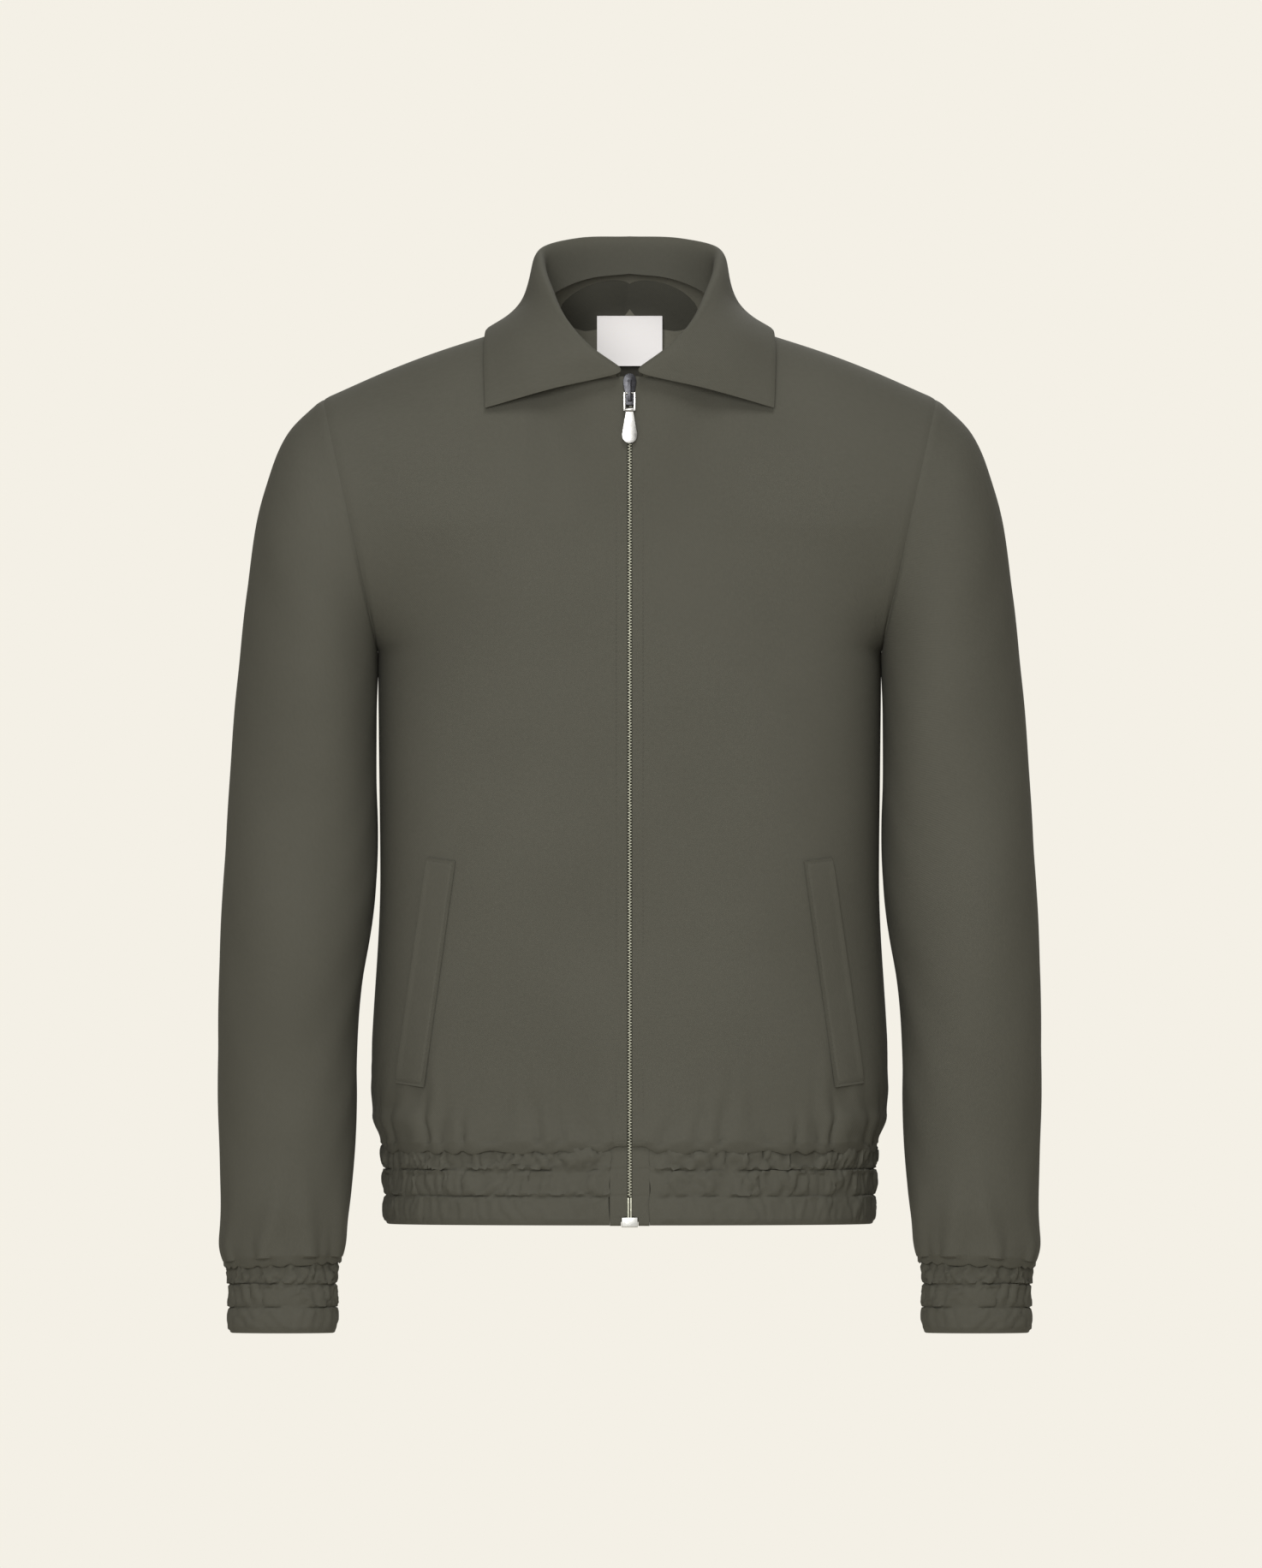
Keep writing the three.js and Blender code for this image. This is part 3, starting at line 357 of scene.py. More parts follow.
def half_panel(face, u, v):
    """Half of the front or back: u from its middle to the side, v from the hem seam up."""
    front = face == "front"
    flat = PLACKET if front else 0
    middle_y = front_edge_y if front else (lambda z: eased(BACK_DEPTHS, z))
    across = np.sin(u * math.pi / 2) ** (2 / SQUARENESS)

    def below(z):
        half_width = eased(HALF_WIDTHS, z)
        x = mix(flat, half_width, across)
        return x, middle_y(z) * section_share(x, half_width, flat), z + 0 * x

    low = np.stack(below(mix(HEM_SEAM_Z, ARMPIT_Z, v / ARMPIT_V)), axis=-1)
    armhole_x = (SHOULDER_X + ARMPIT_X) / 2
    armhole_y = (-1 if front else 1) * ARMHOLE_DEPTH / 2
    chest_x = mix(flat, armhole_x, u)
    chest_y = mix(middle_y(np.array(CHEST_Z)), armhole_y, u ** 2.2)
    q = np.clip((v - ARMPIT_V) / (CHEST_V - ARMPIT_V), 0, 1)
    start_x, start_y, _ = below(ARMPIT_Z + 0 * v)
    rise = mix(q, 1 - np.cos(q * math.pi / 2), u ** 3)
    swing = mix(q, np.sin(q * math.pi / 2), u ** 3)
    middle = np.stack([mix(start_x, chest_x, rise), mix(start_y, chest_y, swing),
                       mix(ARMPIT_Z, CHEST_Z, rise)], axis=-1)
    q = np.clip((v - CHEST_V) / (1 - CHEST_V), 0, 1)
    first_angle = math.asin(flat / (NECK_WIDTH / 2))
    angle = mix(first_angle, math.pi / 2, np.clip(u / NECK_SHARE, 0, 1))
    neck = neck_seam(angle if front else math.pi - angle)
    t = np.clip((u - NECK_SHARE) / (1 - NECK_SHARE), 0, 1)[..., None]
    neck_side = neck_seam(np.array(math.pi / 2))
    shoulder = mix(neck_side, np.array([SHOULDER_X, 0, SHOULDER_Z]), t)
    shoulder[..., 2] += SHOULDER_ARCH * np.sin(math.pi * t[..., 0])
    top = np.where((u <= NECK_SHARE)[..., None], neck, shoulder)
    sine, cosine = np.sin(q * math.pi / 2), np.cos(q * math.pi / 2)
    straight = mix(chest_y, top[..., 1], sine)
    rounded = mix(top[..., 1], chest_y, cosine)
    roundness = smooth(u / NECK_SHARE) if front else 1
    high = np.stack([mix(chest_x, top[..., 0], sine), mix(straight, rounded, roundness),
                     mix(CHEST_Z, top[..., 2], sine)], axis=-1)
    v = v[..., None]
    return np.where(v <= ARMPIT_V, low, np.where(v <= CHEST_V, middle, high))


FOLD_PITCH = 24           # from one fold above the hem to the next


def hem_folds(x, height, seed):
    """How far cloth above a gathered seam stands out, in mm: folds that fan up from it."""
    fan = x * (1 + 0.0016 * height)
    wander = 0.7 * lumps(fan / 46, height / 60, seed)
    wander = wander + 0.4 * lumps(fan / 17, height / 30, seed + 1)
    phase = fan / FOLD_PITCH + wander
    reach = 30 + 26 * lumps(fan / 30, 0 * fan, seed + 2)
    strength = np.exp(-(height / np.maximum(reach, 9)) ** 1.5)
    size = 4.6 + 3.4 * lumps(fan / 38, height / 90, seed + 3)
    return strength * size * (crests(phase) - 0.55)


def seam_dip(distance, depth=1.1, width=2.6):
    """Cloth turned in along a sewn edge: how far it sinks at that distance from the edge."""
    return -depth * np.exp(-(np.maximum(distance, 0) / width) ** 2)


def gradual(count, first, last, ends):
    """Positions from first to last with closer steps at the ends."""
    t = np.linspace(0, 1, count)
    return mix(first, last, t + ends * np.sin(2 * math.pi * t) / (-2 * math.pi))


FRONT_COLUMNS = 96
BODY_ROWS = 190


# Across the roll: how far out, how far down, and the share of the cloth's own droop.
LIP_PROFILE = [(-1.6, 0.6, 0.0), (0.2, -1.6, 0.7), (1.6, -2.4, 1.0), (2.7, -1.6, 0.9),
               (3.0, 0.6, 0.5)]


def hem_lip(points, normals, hang):
    """Rows below a panel's lower edge, where the full cloth rolls under to its seam."""
    base = points[0]
    outwards = normals[0] * np.array([1, 1, 0])
    outwards = outwards / np.linalg.norm(outwards, axis=1, keepdims=True)
    rows = []
    for out, down, share in LIP_PROFILE:
        row = base + outwards * out
        row[:, 2] += down - share * hang
        rows.append(row)
    return np.array(rows)


def body_cloth(face, columns):
    """A panel with its seams turned in, the folds above the hem and the lip over it."""
    u = np.linspace(0, 1, columns + 1)
    v = gradual(BODY_ROWS + 1, 0, 1, 0.35)
    if face == "front":
        strip = 9
        side = np.concatenate([np.zeros(strip), np.linspace(0, 1, columns + 1 - strip)])
        uu, vv = np.meshgrid(side, v)
        points = half_panel("front", uu, vv)
        points[:, :strip, 0] = np.linspace(ZIP_SLOT / 2, PLACKET, strip + 1)[:-1]
    else:
        uu, vv = np.meshgrid(np.abs(1 - 2 * u), v)
        points = half_panel("back", uu, vv)
        points[:, u > 0.5, 0] *= -1
    normals = grid_normals(points)
    height = points[..., 2] - HEM_SEAM_Z
    run = np.cumsum(np.linalg.norm(np.diff(points[0], axis=0, prepend=points[0][:1]), axis=1))
    seed = 3 if face == "front" else 11
    run = run[None, :] + 0 * height
    out = hem_folds(run, height, seed)
    if face == "front":
        out = out * smooth((points[..., 0] - 9) / 14)
    out = out + 3.0 * np.exp(-(height / 14) ** 2)
    side_gap = np.linalg.norm(points - points[:, -1:], axis=2)
    out = out + seam_dip(side_gap)
    if face == "back":
        out = out + seam_dip(np.linalg.norm(points - points[:, :1], axis=2))
    top_gap = np.linalg.norm(points - points[-1:], axis=2)
    out = out + seam_dip(top_gap)
    out = out + 0.5 * lumps(points[..., 0] / 60, points[..., 2] / 90, seed + 5)
    hang_phase = run[0] / FOLD_PITCH + 0.7 * lumps(run[0] / 46, 0 * run[0], seed)
    hang = 2.4 + 3.6 * crests(hang_phase)
    hang = hang * (smooth((np.abs(points[0, :, 0]) - 9) / 14) if face == "front" else 1)
    lip = hem_lip(points, normals, hang)
    return np.concatenate([lip, points + normals * out[..., None]])


front = body_cloth("front", FRONT_COLUMNS)
back = body_cloth("back", FRONT_COLUMNS * 2)
panels = {"left_front": front, "right_front": mirrored(front), "back_panel": back}
for panel_name, panel_points in panels.items():
    panel = grid_object("cloth_" + panel_name, panel_points)
    finish_cloth(panel, CLOTH, twill, lining)
    sew_in(panel, [panel_name], "jacket_body", panel_points)

# ==== Sleeves =======================================================================
# One tube of the same twill to each side, set into the armhole with a turned-in seam and
# gathered into the cuff, where its fullness hangs in two or three curved folds.

CUFF_HEIGHT = 54.5
CUFF_WIDTH = 78
CUFF_DEPTH = 70
CUFF_X = 260
CUFF_Y = -26
CUFF_SEAM_Z = SHOULDER_Z - 644
SLEEVE_UNDERARM = 452
SLEEVE_COLUMNS = 132
SLEEVE_ROWS = 190


def spline(points, t):
    """A smooth curve through points, with t from 0 at the first to 1 at the last."""
    points = np.asarray(points, float)
    before = 2 * points[0] - points[1]
    after = 2 * points[-1] - points[-2]
    line = np.concatenate([[before], points, [after]])
    place = np.clip(t, 0, 1) * (len(points) - 1)
    i = np.minimum(place.astype(int), len(points) - 2)
    w = (place - i)[:, None]
    p0, p1, p2, p3 = line[i], line[i + 1], line[i + 2], line[i + 3]
    gaps = [np.sqrt(np.linalg.norm(b - a, axis=1, keepdims=True))
            for a, b in ((p0, p1), (p1, p2), (p2, p3))]
    first, middle, last = [np.maximum(gap, 1e-3) for gap in gaps]
    start = ((p1 - p0) / first - (p2 - p0) / (first + middle) + (p2 - p1) / middle) * middle
    end = ((p2 - p1) / middle - (p3 - p1) / (middle + last) + (p3 - p2) / last) * middle
    return (p1 + start * w + (-3 * p1 + 3 * p2 - 2 * start - end) * w ** 2
            + (2 * p1 - 2 * p2 + start + end) * w ** 3)


def even_spline(points, t):
    """The same curve with t measured along its length."""
    fine = np.linspace(0, 1, 600)
    line = spline(points, fine)
    run = np.concatenate([[0], np.cumsum(np.linalg.norm(np.diff(line, axis=0), axis=1))])
    return spline(points, np.interp(t * run[-1], run, fine))


SLEEVE_OUT = CUFF_X + CUFF_WIDTH / 2 + 2
SLEEVE_IN = CUFF_X - CUFF_WIDTH / 2 - 2
OUTER_SHARES = [(0.04, 26), (0.104, 43), (0.193, 54), (0.43, 69), (0.73, 78), (0.93, 76), (0.98, 75)]
INNER_SHARES = [(0.14, 0), (0.37, 0), (0.61, 0.46), (0.75, 0.5), (0.93, 0.7), (0.97, 0.82)]
SLEEVE_DEPTHS = [(0, ARMHOLE_DEPTH / 2), (-0.15, ARMHOLE_DEPTH / 2 + 6),
                 (-0.5, ARMHOLE_DEPTH / 2 - 6), (-0.93, CUFF_DEPTH / 2 + 9),
                 (-1, CUFF_DEPTH / 2 + 2)]
out_run = SLEEVE_OUT - SHOULDER_X
outer_line = [(SHOULDER_X + 0.5, 0, SHOULDER_Z)]
outer_line += [(SHOULDER_X + x * out_run / 71, 0, SHOULDER_Z - 644 * t) for t, x in OUTER_SHARES]
outer_line += [(SLEEVE_OUT, 0, CUFF_SEAM_Z)]
inner_line = [(ARMPIT_X + 0.6, 0, ARMPIT_Z - 0.4)]
inner_line += [(mix(ARMPIT_X + 2.2, SLEEVE_IN, share), 0, ARMPIT_Z - SLEEVE_UNDERARM * t)
               for t, share in INNER_SHARES]
inner_line += [(SLEEVE_IN, 0, ARMPIT_Z - SLEEVE_UNDERARM)]


# Folds above a cuff: share of the way round, lean, height out and length up the sleeve.
CUFF_FOLDS = [(0.20, 0.0009, 4.2, 62), (0.325, -0.0008, 4.0, 54), (0.43, -0.0006, 2.4, 40),
              (0.08, 0.0006, 2.4, 44), (0.58, 0.0005, 3.0, 52), (0.74, -0.0007, 3.6, 60),
              (0.90, -0.0006, 2.6, 44)]
# Rows that tuck in under the body's edge: how far past the seam, and how far below it.
SEAM_ALLOWANCE = [(5.5, 1.9), (4.0, 1.7), (2.4, 1.3), (1.0, 0.6)]


def sleeve_tube():
    """The left sleeve from its armhole down, with folds and a lip above the cuff."""
    u = np.arange(SLEEVE_COLUMNS) / SLEEVE_COLUMNS
    v = gradual(SLEEVE_ROWS + 1, 0, 1, 0.3)
    outer = even_spline(outer_line, v)
    inner = even_spline(inner_line, v)
    middle, half = (outer + inner) / 2, (outer - inner) / 2
    angle = -2 * math.pi * u
    points = middle[:, None] + half[:, None] * np.cos(angle)[None, :, None]
    depth = eased(SLEEVE_DEPTHS, -v)
    points[..., 1] = depth[:, None] * np.sin(angle) + CUFF_Y * (v ** 1.5)[:, None]
    normals = grid_normals(points, closed=True)
    above = np.linalg.norm(points - points[-1:], axis=2)
    below = np.linalg.norm(points - points[:1], axis=2)
    turn = u[None, :] + 0 * above
    around = turn * math.pi * (CUFF_WIDTH + CUFF_DEPTH) / 2
    # Two folds run down to the middle of the cuff from either side, front and back.
    out = np.zeros_like(above)
    for centre, lean, size, length in CUFF_FOLDS:
        path = centre + lean * above - 0.0000045 * np.sign(lean) * above ** 2
        apart = (turn - path + 0.5) % 1 - 0.5
        out += size * np.exp(-(apart / 0.028) ** 2) * np.exp(-(above / length) ** 2)
    loop = np.cos(2 * math.pi * turn) * 2.3, np.sin(2 * math.pi * turn) * 2.3 + above / 50
    small = crests(around / 13 + 0.8 * lumps(loop[0], loop[1], 21))
    out += 1.8 * np.exp(-(above / 15) ** 1.6) * (small - 0.5)
    out += 3.2 * np.exp(-(above / 17) ** 2)
    out += 1.3 * lumps(loop[0] * 0.5, loop[1] * 0.9, 23) * smooth(below / 60)
    out += seam_dip(below)
    hang = 2.0 + 2.4 * small[-1]
    cloth = points + normals * out[..., None]
    lip = hem_lip(points[::-1], normals[::-1], hang)[::-1]
    into_body = np.array([ARMPIT_Z - SHOULDER_Z, 0, SHOULDER_X - ARMPIT_X], float)
    into_body = into_body / np.linalg.norm(into_body)
    allowance = np.array([cloth[0] + into_body * step - normals[0] * sink
                          for step, sink in SEAM_ALLOWANCE])
    return np.concatenate([allowance, cloth, lip])


left_sleeve = sleeve_tube()
for side, sign in (("left", 1), ("right", -1)):
    sleeve_points = left_sleeve if sign == 1 else mirrored(left_sleeve)
    sleeve = grid_object(f"cloth_{side}_sleeve", sleeve_points, closed=True)
    finish_cloth(sleeve, CLOTH, twill, lining)
    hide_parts(f"{side}_sleeve")
    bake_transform(sleeve)

# ==== Hem band and cuffs ============================================================
# Strips of the twill folded over elastic and stitched through in rows. The elastic draws
# the strip in, so it gathers between the stitching. The gathers come from a simulation of
# the cloth held along its stitching.

PUFF = 3
BAND_ROWS = 3
BAND_FOLD = 2.4
HEM_TAB = 15
WALL_STEPS = 54


def band_wall(height):
    """Offsets outwards and heights down a folded band: outer wall, fold, inner wall."""
    wall = height - BAND_FOLD
    t = np.linspace(0, 1, WALL_STEPS + 1)
    row = t * BAND_ROWS
    puff = PUFF * np.abs(np.sin(math.pi * row)) ** 0.62
    outer = np.stack([puff, -t * wall], -1)
    turn = np.linspace(0, math.pi, 7)[1:-1]
    fold = np.stack([-BAND_FOLD / 2 + BAND_FOLD / 2 * np.cos(turn),
                     -wall - BAND_FOLD / 2 * np.sin(turn) * 1.3], -1)
    back_up = np.linspace(0, 1, 9)
    inner = np.stack([np.full(9, -BAND_FOLD), -wall * (1 - back_up)], -1)
    return np.concatenate([outer, fold, inner])


def gathers(run, t, seed, slant):
    """How far a stitched strip stands out: gathers between its rows of stitching."""
    row = np.minimum(np.floor(t * BAND_ROWS), BAND_ROWS - 1)
    free = np.abs(np.sin(math.pi * t * BAND_ROWS)) ** 0.6
    total = np.zeros_like(run)
    for k in range(BAND_ROWS):
        here = row == k
        lean = slant * (t * BAND_ROWS - k - 0.5)
        pitch = 8.5 + 1.0 * k
        wander = 1.1 * lumps(run / 34, t * 2.2, seed + k)
        wander = wander + 0.45 * lumps(run / 11, t * 5, seed + k + 9)
        ridge = crests(run / pitch + lean * lumps(run / 70, 0 * run, seed + k + 20) + wander)
        size = (2.5 - 0.75 * k) * (0.75 + 0.6 * lumps(run / 22, t * 1.5, seed + k + 30))
        total = np.where(here, size * (ridge - 0.6) * (0.22 + 0.78 * free), total)
    return total


SIM_SCALE = 10            # cloth is simulated ten times life size, where the solver is steady
GROWTH = 0.3              # share by which the cloth is let grow between its stitching
SIM_FRAMES = 30


def relaxed_cloth(start, held_rows, closed=False):
    """Cloth let go from a start shape, too full for its rows of stitching, which hold it."""
    rows, columns = start.shape[:2]
    strip = grid_object("cloth_in_simulation", start * SIM_SCALE, closed)
    held = strip.vertex_groups.new(name="stitched")
    index = np.arange(rows * columns).reshape(rows, columns)
    held.add([int(k) for k in index[held_rows].ravel()], 1.0, "REPLACE")
    cloth = strip.modifiers.new("cloth", "CLOTH")
    settings = cloth.settings
    settings.shrink_min = -GROWTH
    settings.vertex_group_mass = "stitched"
    settings.quality = 6
    settings.mass = 0.3
    settings.air_damping = 2.0
    settings.tension_stiffness = 40
    settings.compression_stiffness = 40
    settings.shear_stiffness = 4
    settings.bending_stiffness = 0.05
    settings.tension_damping = 8
    settings.compression_damping = 8
    settings.shear_damping = 8
    settings.effector_weights.gravity = 0
    cloth.collision_settings.use_collision = False
    cloth.point_cache.frame_start = 1
    cloth.point_cache.frame_end = SIM_FRAMES
    for frame_number in range(1, SIM_FRAMES + 1):
        bpy.context.scene.frame_set(frame_number)
    settled = strip.evaluated_get(bpy.context.evaluated_depsgraph_get())
    corners = np.zeros(rows * columns * 3, np.float32)
    settled.data.vertices.foreach_get("co", corners)
    bpy.data.objects.remove(strip)
    bpy.context.scene.frame_set(1)
    return corners.reshape(rows, columns, 3).astype(float) / (MM * SIM_SCALE)


INWARD_LIMIT = 1.3        # mm: the elastic stops the cloth from sinking in further
OUTWARD_LIMIT = 5.0       # mm: gathers stand out no further than this
ROW_FULLNESS = (1.0, 0.8, 0.45)     # the lowest row is stitched over the flattest cloth


def gathered_band(height, place, columns, length, seed, slant, closed=False):
    """A folded strip that gathers over its elastic. place gives a point of its way round."""
    wall = band_wall(height)
    outer, rest = wall[:WALL_STEPS + 1:2], wall[WALL_STEPS + 1:]
    u = np.linspace(0, 1, columns + 1)[:-1] if closed else np.linspace(0, 1, columns + 1)
    uu = u[None, :] + 0 * outer[:, :1]
    t = np.clip(-outer[:, 1:] / (height - BAND_FOLD), 0, 1) + 0 * uu
    ripple = gathers(uu * length, t, seed, slant)
    start = place(uu, 0.62 * outer[:, :1] + 0.5 * ripple, outer[:, 1:] + 0 * uu)
    row_place = t * BAND_ROWS
    held_rows = np.flatnonzero(np.abs(row_place[:, 0] - np.round(row_place[:, 0])) < 0.02)
    moved = relaxed_cloth(start, held_rows, closed)
    down = outer[:, 1:] + 0 * uu
    outwards = place(uu, 1 + 0 * uu, down) - place(uu, 0 * uu, down)
    step = ((moved - start) * outwards).sum(axis=2)
    fullness = np.interp(row_place, [0.5, 1.5, 2.5], ROW_FULLNESS)
    sunk = -INWARD_LIMIT * (1 - np.exp(np.minimum(step, 0) / INWARD_LIMIT))
    raised = OUTWARD_LIMIT * (1 - np.exp(-np.maximum(step, 0) / OUTWARD_LIMIT))
    limited = np.where(step < 0, sunk, raised)
    sideways = (moved - start) - step[..., None] * outwards
    shape = start + (limited * fullness)[..., None] * outwards
    shape = shape + 0.6 * sideways * fullness[..., None]
    under = place(u[None, :] + 0 * rest[:, :1], rest[:, :1] + 0 * u, rest[:, 1:] + 0 * u)
    return np.concatenate([shape, under])


def superellipse(angle, half_width, depth, offset):
    """Points round a rounded rectangle, moved outwards. angle 0 is the positive depth."""
    power = 2 / SQUARENESS
    x = half_width * np.sign(np.sin(angle)) * np.abs(np.sin(angle)) ** power
    y = depth * np.abs(np.cos(angle)) ** power
    slope = np.stack([x / half_width ** 2, y / depth ** 2], -1)
    slope = slope / np.linalg.norm(slope, axis=-1, keepdims=True)
    return x + slope[..., 0] * offset, y + slope[..., 1] * offset


def hem_place(u, offset, down):
    z = HEM_SEAM_Z - 1 + down
    start = math.asin((HEM_TAB / (HEM_WIDTH / 2)) ** (SQUARENESS / 2))
    angle = mix(start, 2 * math.pi - start, u)
    depth = np.where(np.cos(angle) > 0, front_edge_y(z), eased(BACK_DEPTHS, z))
    x, y = superellipse(angle, HEM_WIDTH / 2, depth, offset)
    return np.stack([x, y, z], axis=-1)


def cuff_place(u, offset, down):
    angle = -2 * math.pi * u
    x = CUFF_X + (CUFF_WIDTH / 2 + offset) * np.cos(angle)
    y = CUFF_Y + (CUFF_DEPTH / 2 + offset) * np.sin(angle)
    return np.stack([x, y, CUFF_SEAM_Z - 1 + down], axis=-1)


HEM_LENGTH = 1010         # round the hem, outside the elastic
hem_points = gathered_band(HEM_HEIGHT, hem_place, 440, HEM_LENGTH, 51, 1.8)
hem_band = grid_object("cloth_hem_band", hem_points, turned=True)
finish_cloth(hem_band, CLOTH, twill, twill)
sew_in(hem_band, ["hem_band", "hem_elastic"], "jacket_body", hem_points)

cuff_length = math.pi * (CUFF_WIDTH + CUFF_DEPTH) / 2
cuff_points = gathered_band(CUFF_HEIGHT, cuff_place, 120, cuff_length, 71, 1.0, closed=True)
for side, sign in (("left", 1), ("right", -1)):
    shape = cuff_points if sign == 1 else mirrored(cuff_points)
    cuff = grid_object(f"cloth_{side}_cuff", shape, closed=True)
    finish_cloth(cuff, CLOTH, twill, twill)
    sew_in(cuff, [f"{side}_cuff", f"{side}_cuff_elastic"], f"{side}_arm",
           shape)

# ==== Collar ========================================================================
# A turn-down collar of three layers, sewn to the neck seam: the upper collar that shows, a
# thin interlining that keeps it crisp, and the under collar, joined round a pressed edge.

COLLAR_FOLD = 3.2
COLLAR_LIFT = 4           # leaf above the shoulder
LIGHT_CLOTH = 0.8
INTERLINING = 0.4
LAYER_GAP = 0.4
COLLAR_COLUMNS = 180
COLLAR_ROWS = 72
FOLD_STEPS = [(7, -6, 5), (30, -8.4, 19.6), (47, -7.8, 27.9), (58, -5.8, 34), (64, -6.1, 34.6),
              (62, -5, 31.3), (36, -1.4, 27.7), (0, 0, 25.5)]
SEAM_ANGLES = np.radians([6, 30, 55, 80, 105, 130, 155, 180])
EDGE_PLACES = [("front", 0.473, 0.415), ("front", 0.475, 0.533), ("front", 0.475, 0.713),
               ("front", 0.468, 0.97), ("back", 0.45, 0.85), ("back", 0.38, 0.7),
               ("back", 0.22, 0.6), ("back", 0.0, 0.57)]


def panel_point(face, u, v, lift):
    """A point of a panel lifted off it along its normal."""
    step = 1e-3
    uu = np.array([u, u + step, max(0, u - step), u, u])
    vv = np.array([v, v, v, v + step, v - step])
    here, right, left, above, below = half_panel(face, uu, vv)
    normal = np.cross(right - left, above - below)
    return here + normal / np.linalg.norm(normal) * lift


seam_points = neck_seam(SEAM_ANGLES)
fold_points = [(x, seam[1] + dy, seam[2] + dz)
               for (x, dy, dz), seam in zip(FOLD_STEPS, seam_points)]
edge_points = [panel_point(face, u, mix(CHEST_V, 1, q), COLLAR_LIFT * (1 if face == "front" else -1))
               for face, u, q in EDGE_PLACES]


def collar_surface():
    """The middle of the collar's layers: from the neck seam up, over the fold and down."""
    s = np.linspace(0, 1, COLLAR_COLUMNS // 2 + 1)
    r = np.linspace(0, 1, COLLAR_ROWS + 1)
    seam, fold, edge = (spline(line, s) for line in (seam_points, fold_points, edge_points))
    outwards = (fold - np.array([0, NECK_FRONT_Y + NECK_DEPTH / 2, 0])) * np.array([1, 1, 0])
    outwards = outwards / np.linalg.norm(outwards, axis=1, keepdims=True)
    radius = mix(COLLAR_FOLD * 0.6, COLLAR_FOLD, smooth(s * 4))[:, None]
    up = np.array([0, 0, 1]) * radius
    stand_height = np.linalg.norm(fold - seam, axis=1, keepdims=True)
    foot = mix(seam, fold, -1.6 / stand_height) - outwards * 0.9
    roll = fold + outwards * radius
    hollow = smooth(s * 4 - 1)[:, None]
    belly = mix(fold, edge, 0.5) + outwards * mix(6, -3.5, hollow) + np.array([0, 0, -1.5]) * hollow
    knots = np.stack([foot, fold - up, roll, roll + outwards * radius - up, belly, edge])
    half = np.stack([spline(knots[:, i], r) for i in range(len(s))], axis=1)
    other = half[:, -2::-1] * np.array([-1, 1, 1])
    return np.concatenate([half, other], axis=1)


collar_middle = collar_surface()
collar_normals = grid_normals(collar_middle)
to_edge = np.linalg.norm(collar_middle - collar_middle[-1:], axis=2)
to_front = np.minimum(np.linalg.norm(collar_middle - collar_middle[:, :1], axis=2),
                      np.linalg.norm(collar_middle - collar_middle[:, -1:], axis=2))
rim = np.exp(-(np.minimum(to_edge, to_front) / 1.5) ** 2)
layer_step = (LIGHT_CLOTH + INTERLINING) / 2 + LAYER_GAP
collar_ripple = 0.45 * lumps(collar_middle[..., 0] / 38, collar_middle[..., 2] / 26, 31)
COLLAR_LAYERS = [
    ("upper_collar", LIGHT_CLOTH, -layer_step + 0.75 * rim, "shell_fabric"),
    ("collar_interlining", INTERLINING, 0 * rim, "lining"),
    ("under_collar", LIGHT_CLOTH, layer_step - 0.5 * rim, "shell_fabric"),
]
for layer_name, thickness, lift, layer_slot in COLLAR_LAYERS:
    shape = collar_middle + collar_normals * (lift + collar_ripple)[..., None]
    if layer_name != "upper_collar":
        shape = shape[:-1, 1:-1]
    layer = grid_object("cloth_" + layer_name, shape)
    finish_cloth(layer, thickness, lining if layer_slot == "lining" else twill)
    sew_in(layer, [layer_name], "jacket_body", shape)

# ==== Inside the neck: facing and label =============================================
# A half-moon of twill, painted lighter than the shell, faces the back of the neck. A satin-woven
# label, left blank, is sewn to it by its edges.

FACING_LIFT = -(CLOTH / 2 + LAYER_GAP + LIGHT_CLOTH / 2)
FACING_COLUMNS = 72
FACING_ROWS = 40
FACING_SIDES = (5 / 16, 11 / 16)   # shares of the back's width that the facing spans
FACING_FOOT = 1 - 2 / 14           # share of the back's height where it starts
facing_u = np.linspace(*FACING_SIDES, FACING_COLUMNS + 1)
uu, vv = np.meshgrid(facing_u, np.linspace(FACING_FOOT, 1, FACING_ROWS))
facing_shape = half_panel("back", np.abs(1 - 2 * uu), vv)
facing_shape[..., 0] *= np.where(uu > 0.5, -1, 1)
facing_shape = facing_shape + grid_normals(facing_shape) * FACING_LIFT
neck_facing = grid_object("cloth_back_neck_facing", facing_shape)
# Neck facing: the shell's twill painted lighter, standing in for light inside the shaded neck.
twill_painted_lighter = woven("olive_twill_painted_lighter", "#706E62", "#68665B", TWILL_PITCH, 0.12, 0.1)
finish_cloth(neck_facing, LIGHT_CLOTH, twill_painted_lighter)
sew_in(neck_facing, ["back_neck_facing"], "jacket_body", facing_shape)

LABEL_WIDTH = 49
LABEL_HEIGHT = 39
label_mount = next(m for m in frame["record"]["mounts"] if m["name"] == "label_face")
label_centre = np.array(label_mount["pos_m"]) / MM
label_out = np.array(label_mount["axis"], float)
label_up = np.cross(label_out, [-1, 0, 0])
label_up = label_up * np.sign(label_up[2])
xx, zz = np.meshgrid(np.linspace(-1, 1, 37), np.linspace(-1, 1, 31))
curl = 0.35 * (xx ** 8 + zz ** 8) - 0.25 * xx ** 2
label_shape = (label_centre + xx[..., None] * np.array([LABEL_WIDTH / 2, 0, 0])
               + zz[..., None] * label_up * LABEL_HEIGHT / 2
               + (curl - LIGHT_CLOTH / 2)[..., None] * label_out)
label = grid_object("blank_neck_label", label_shape)
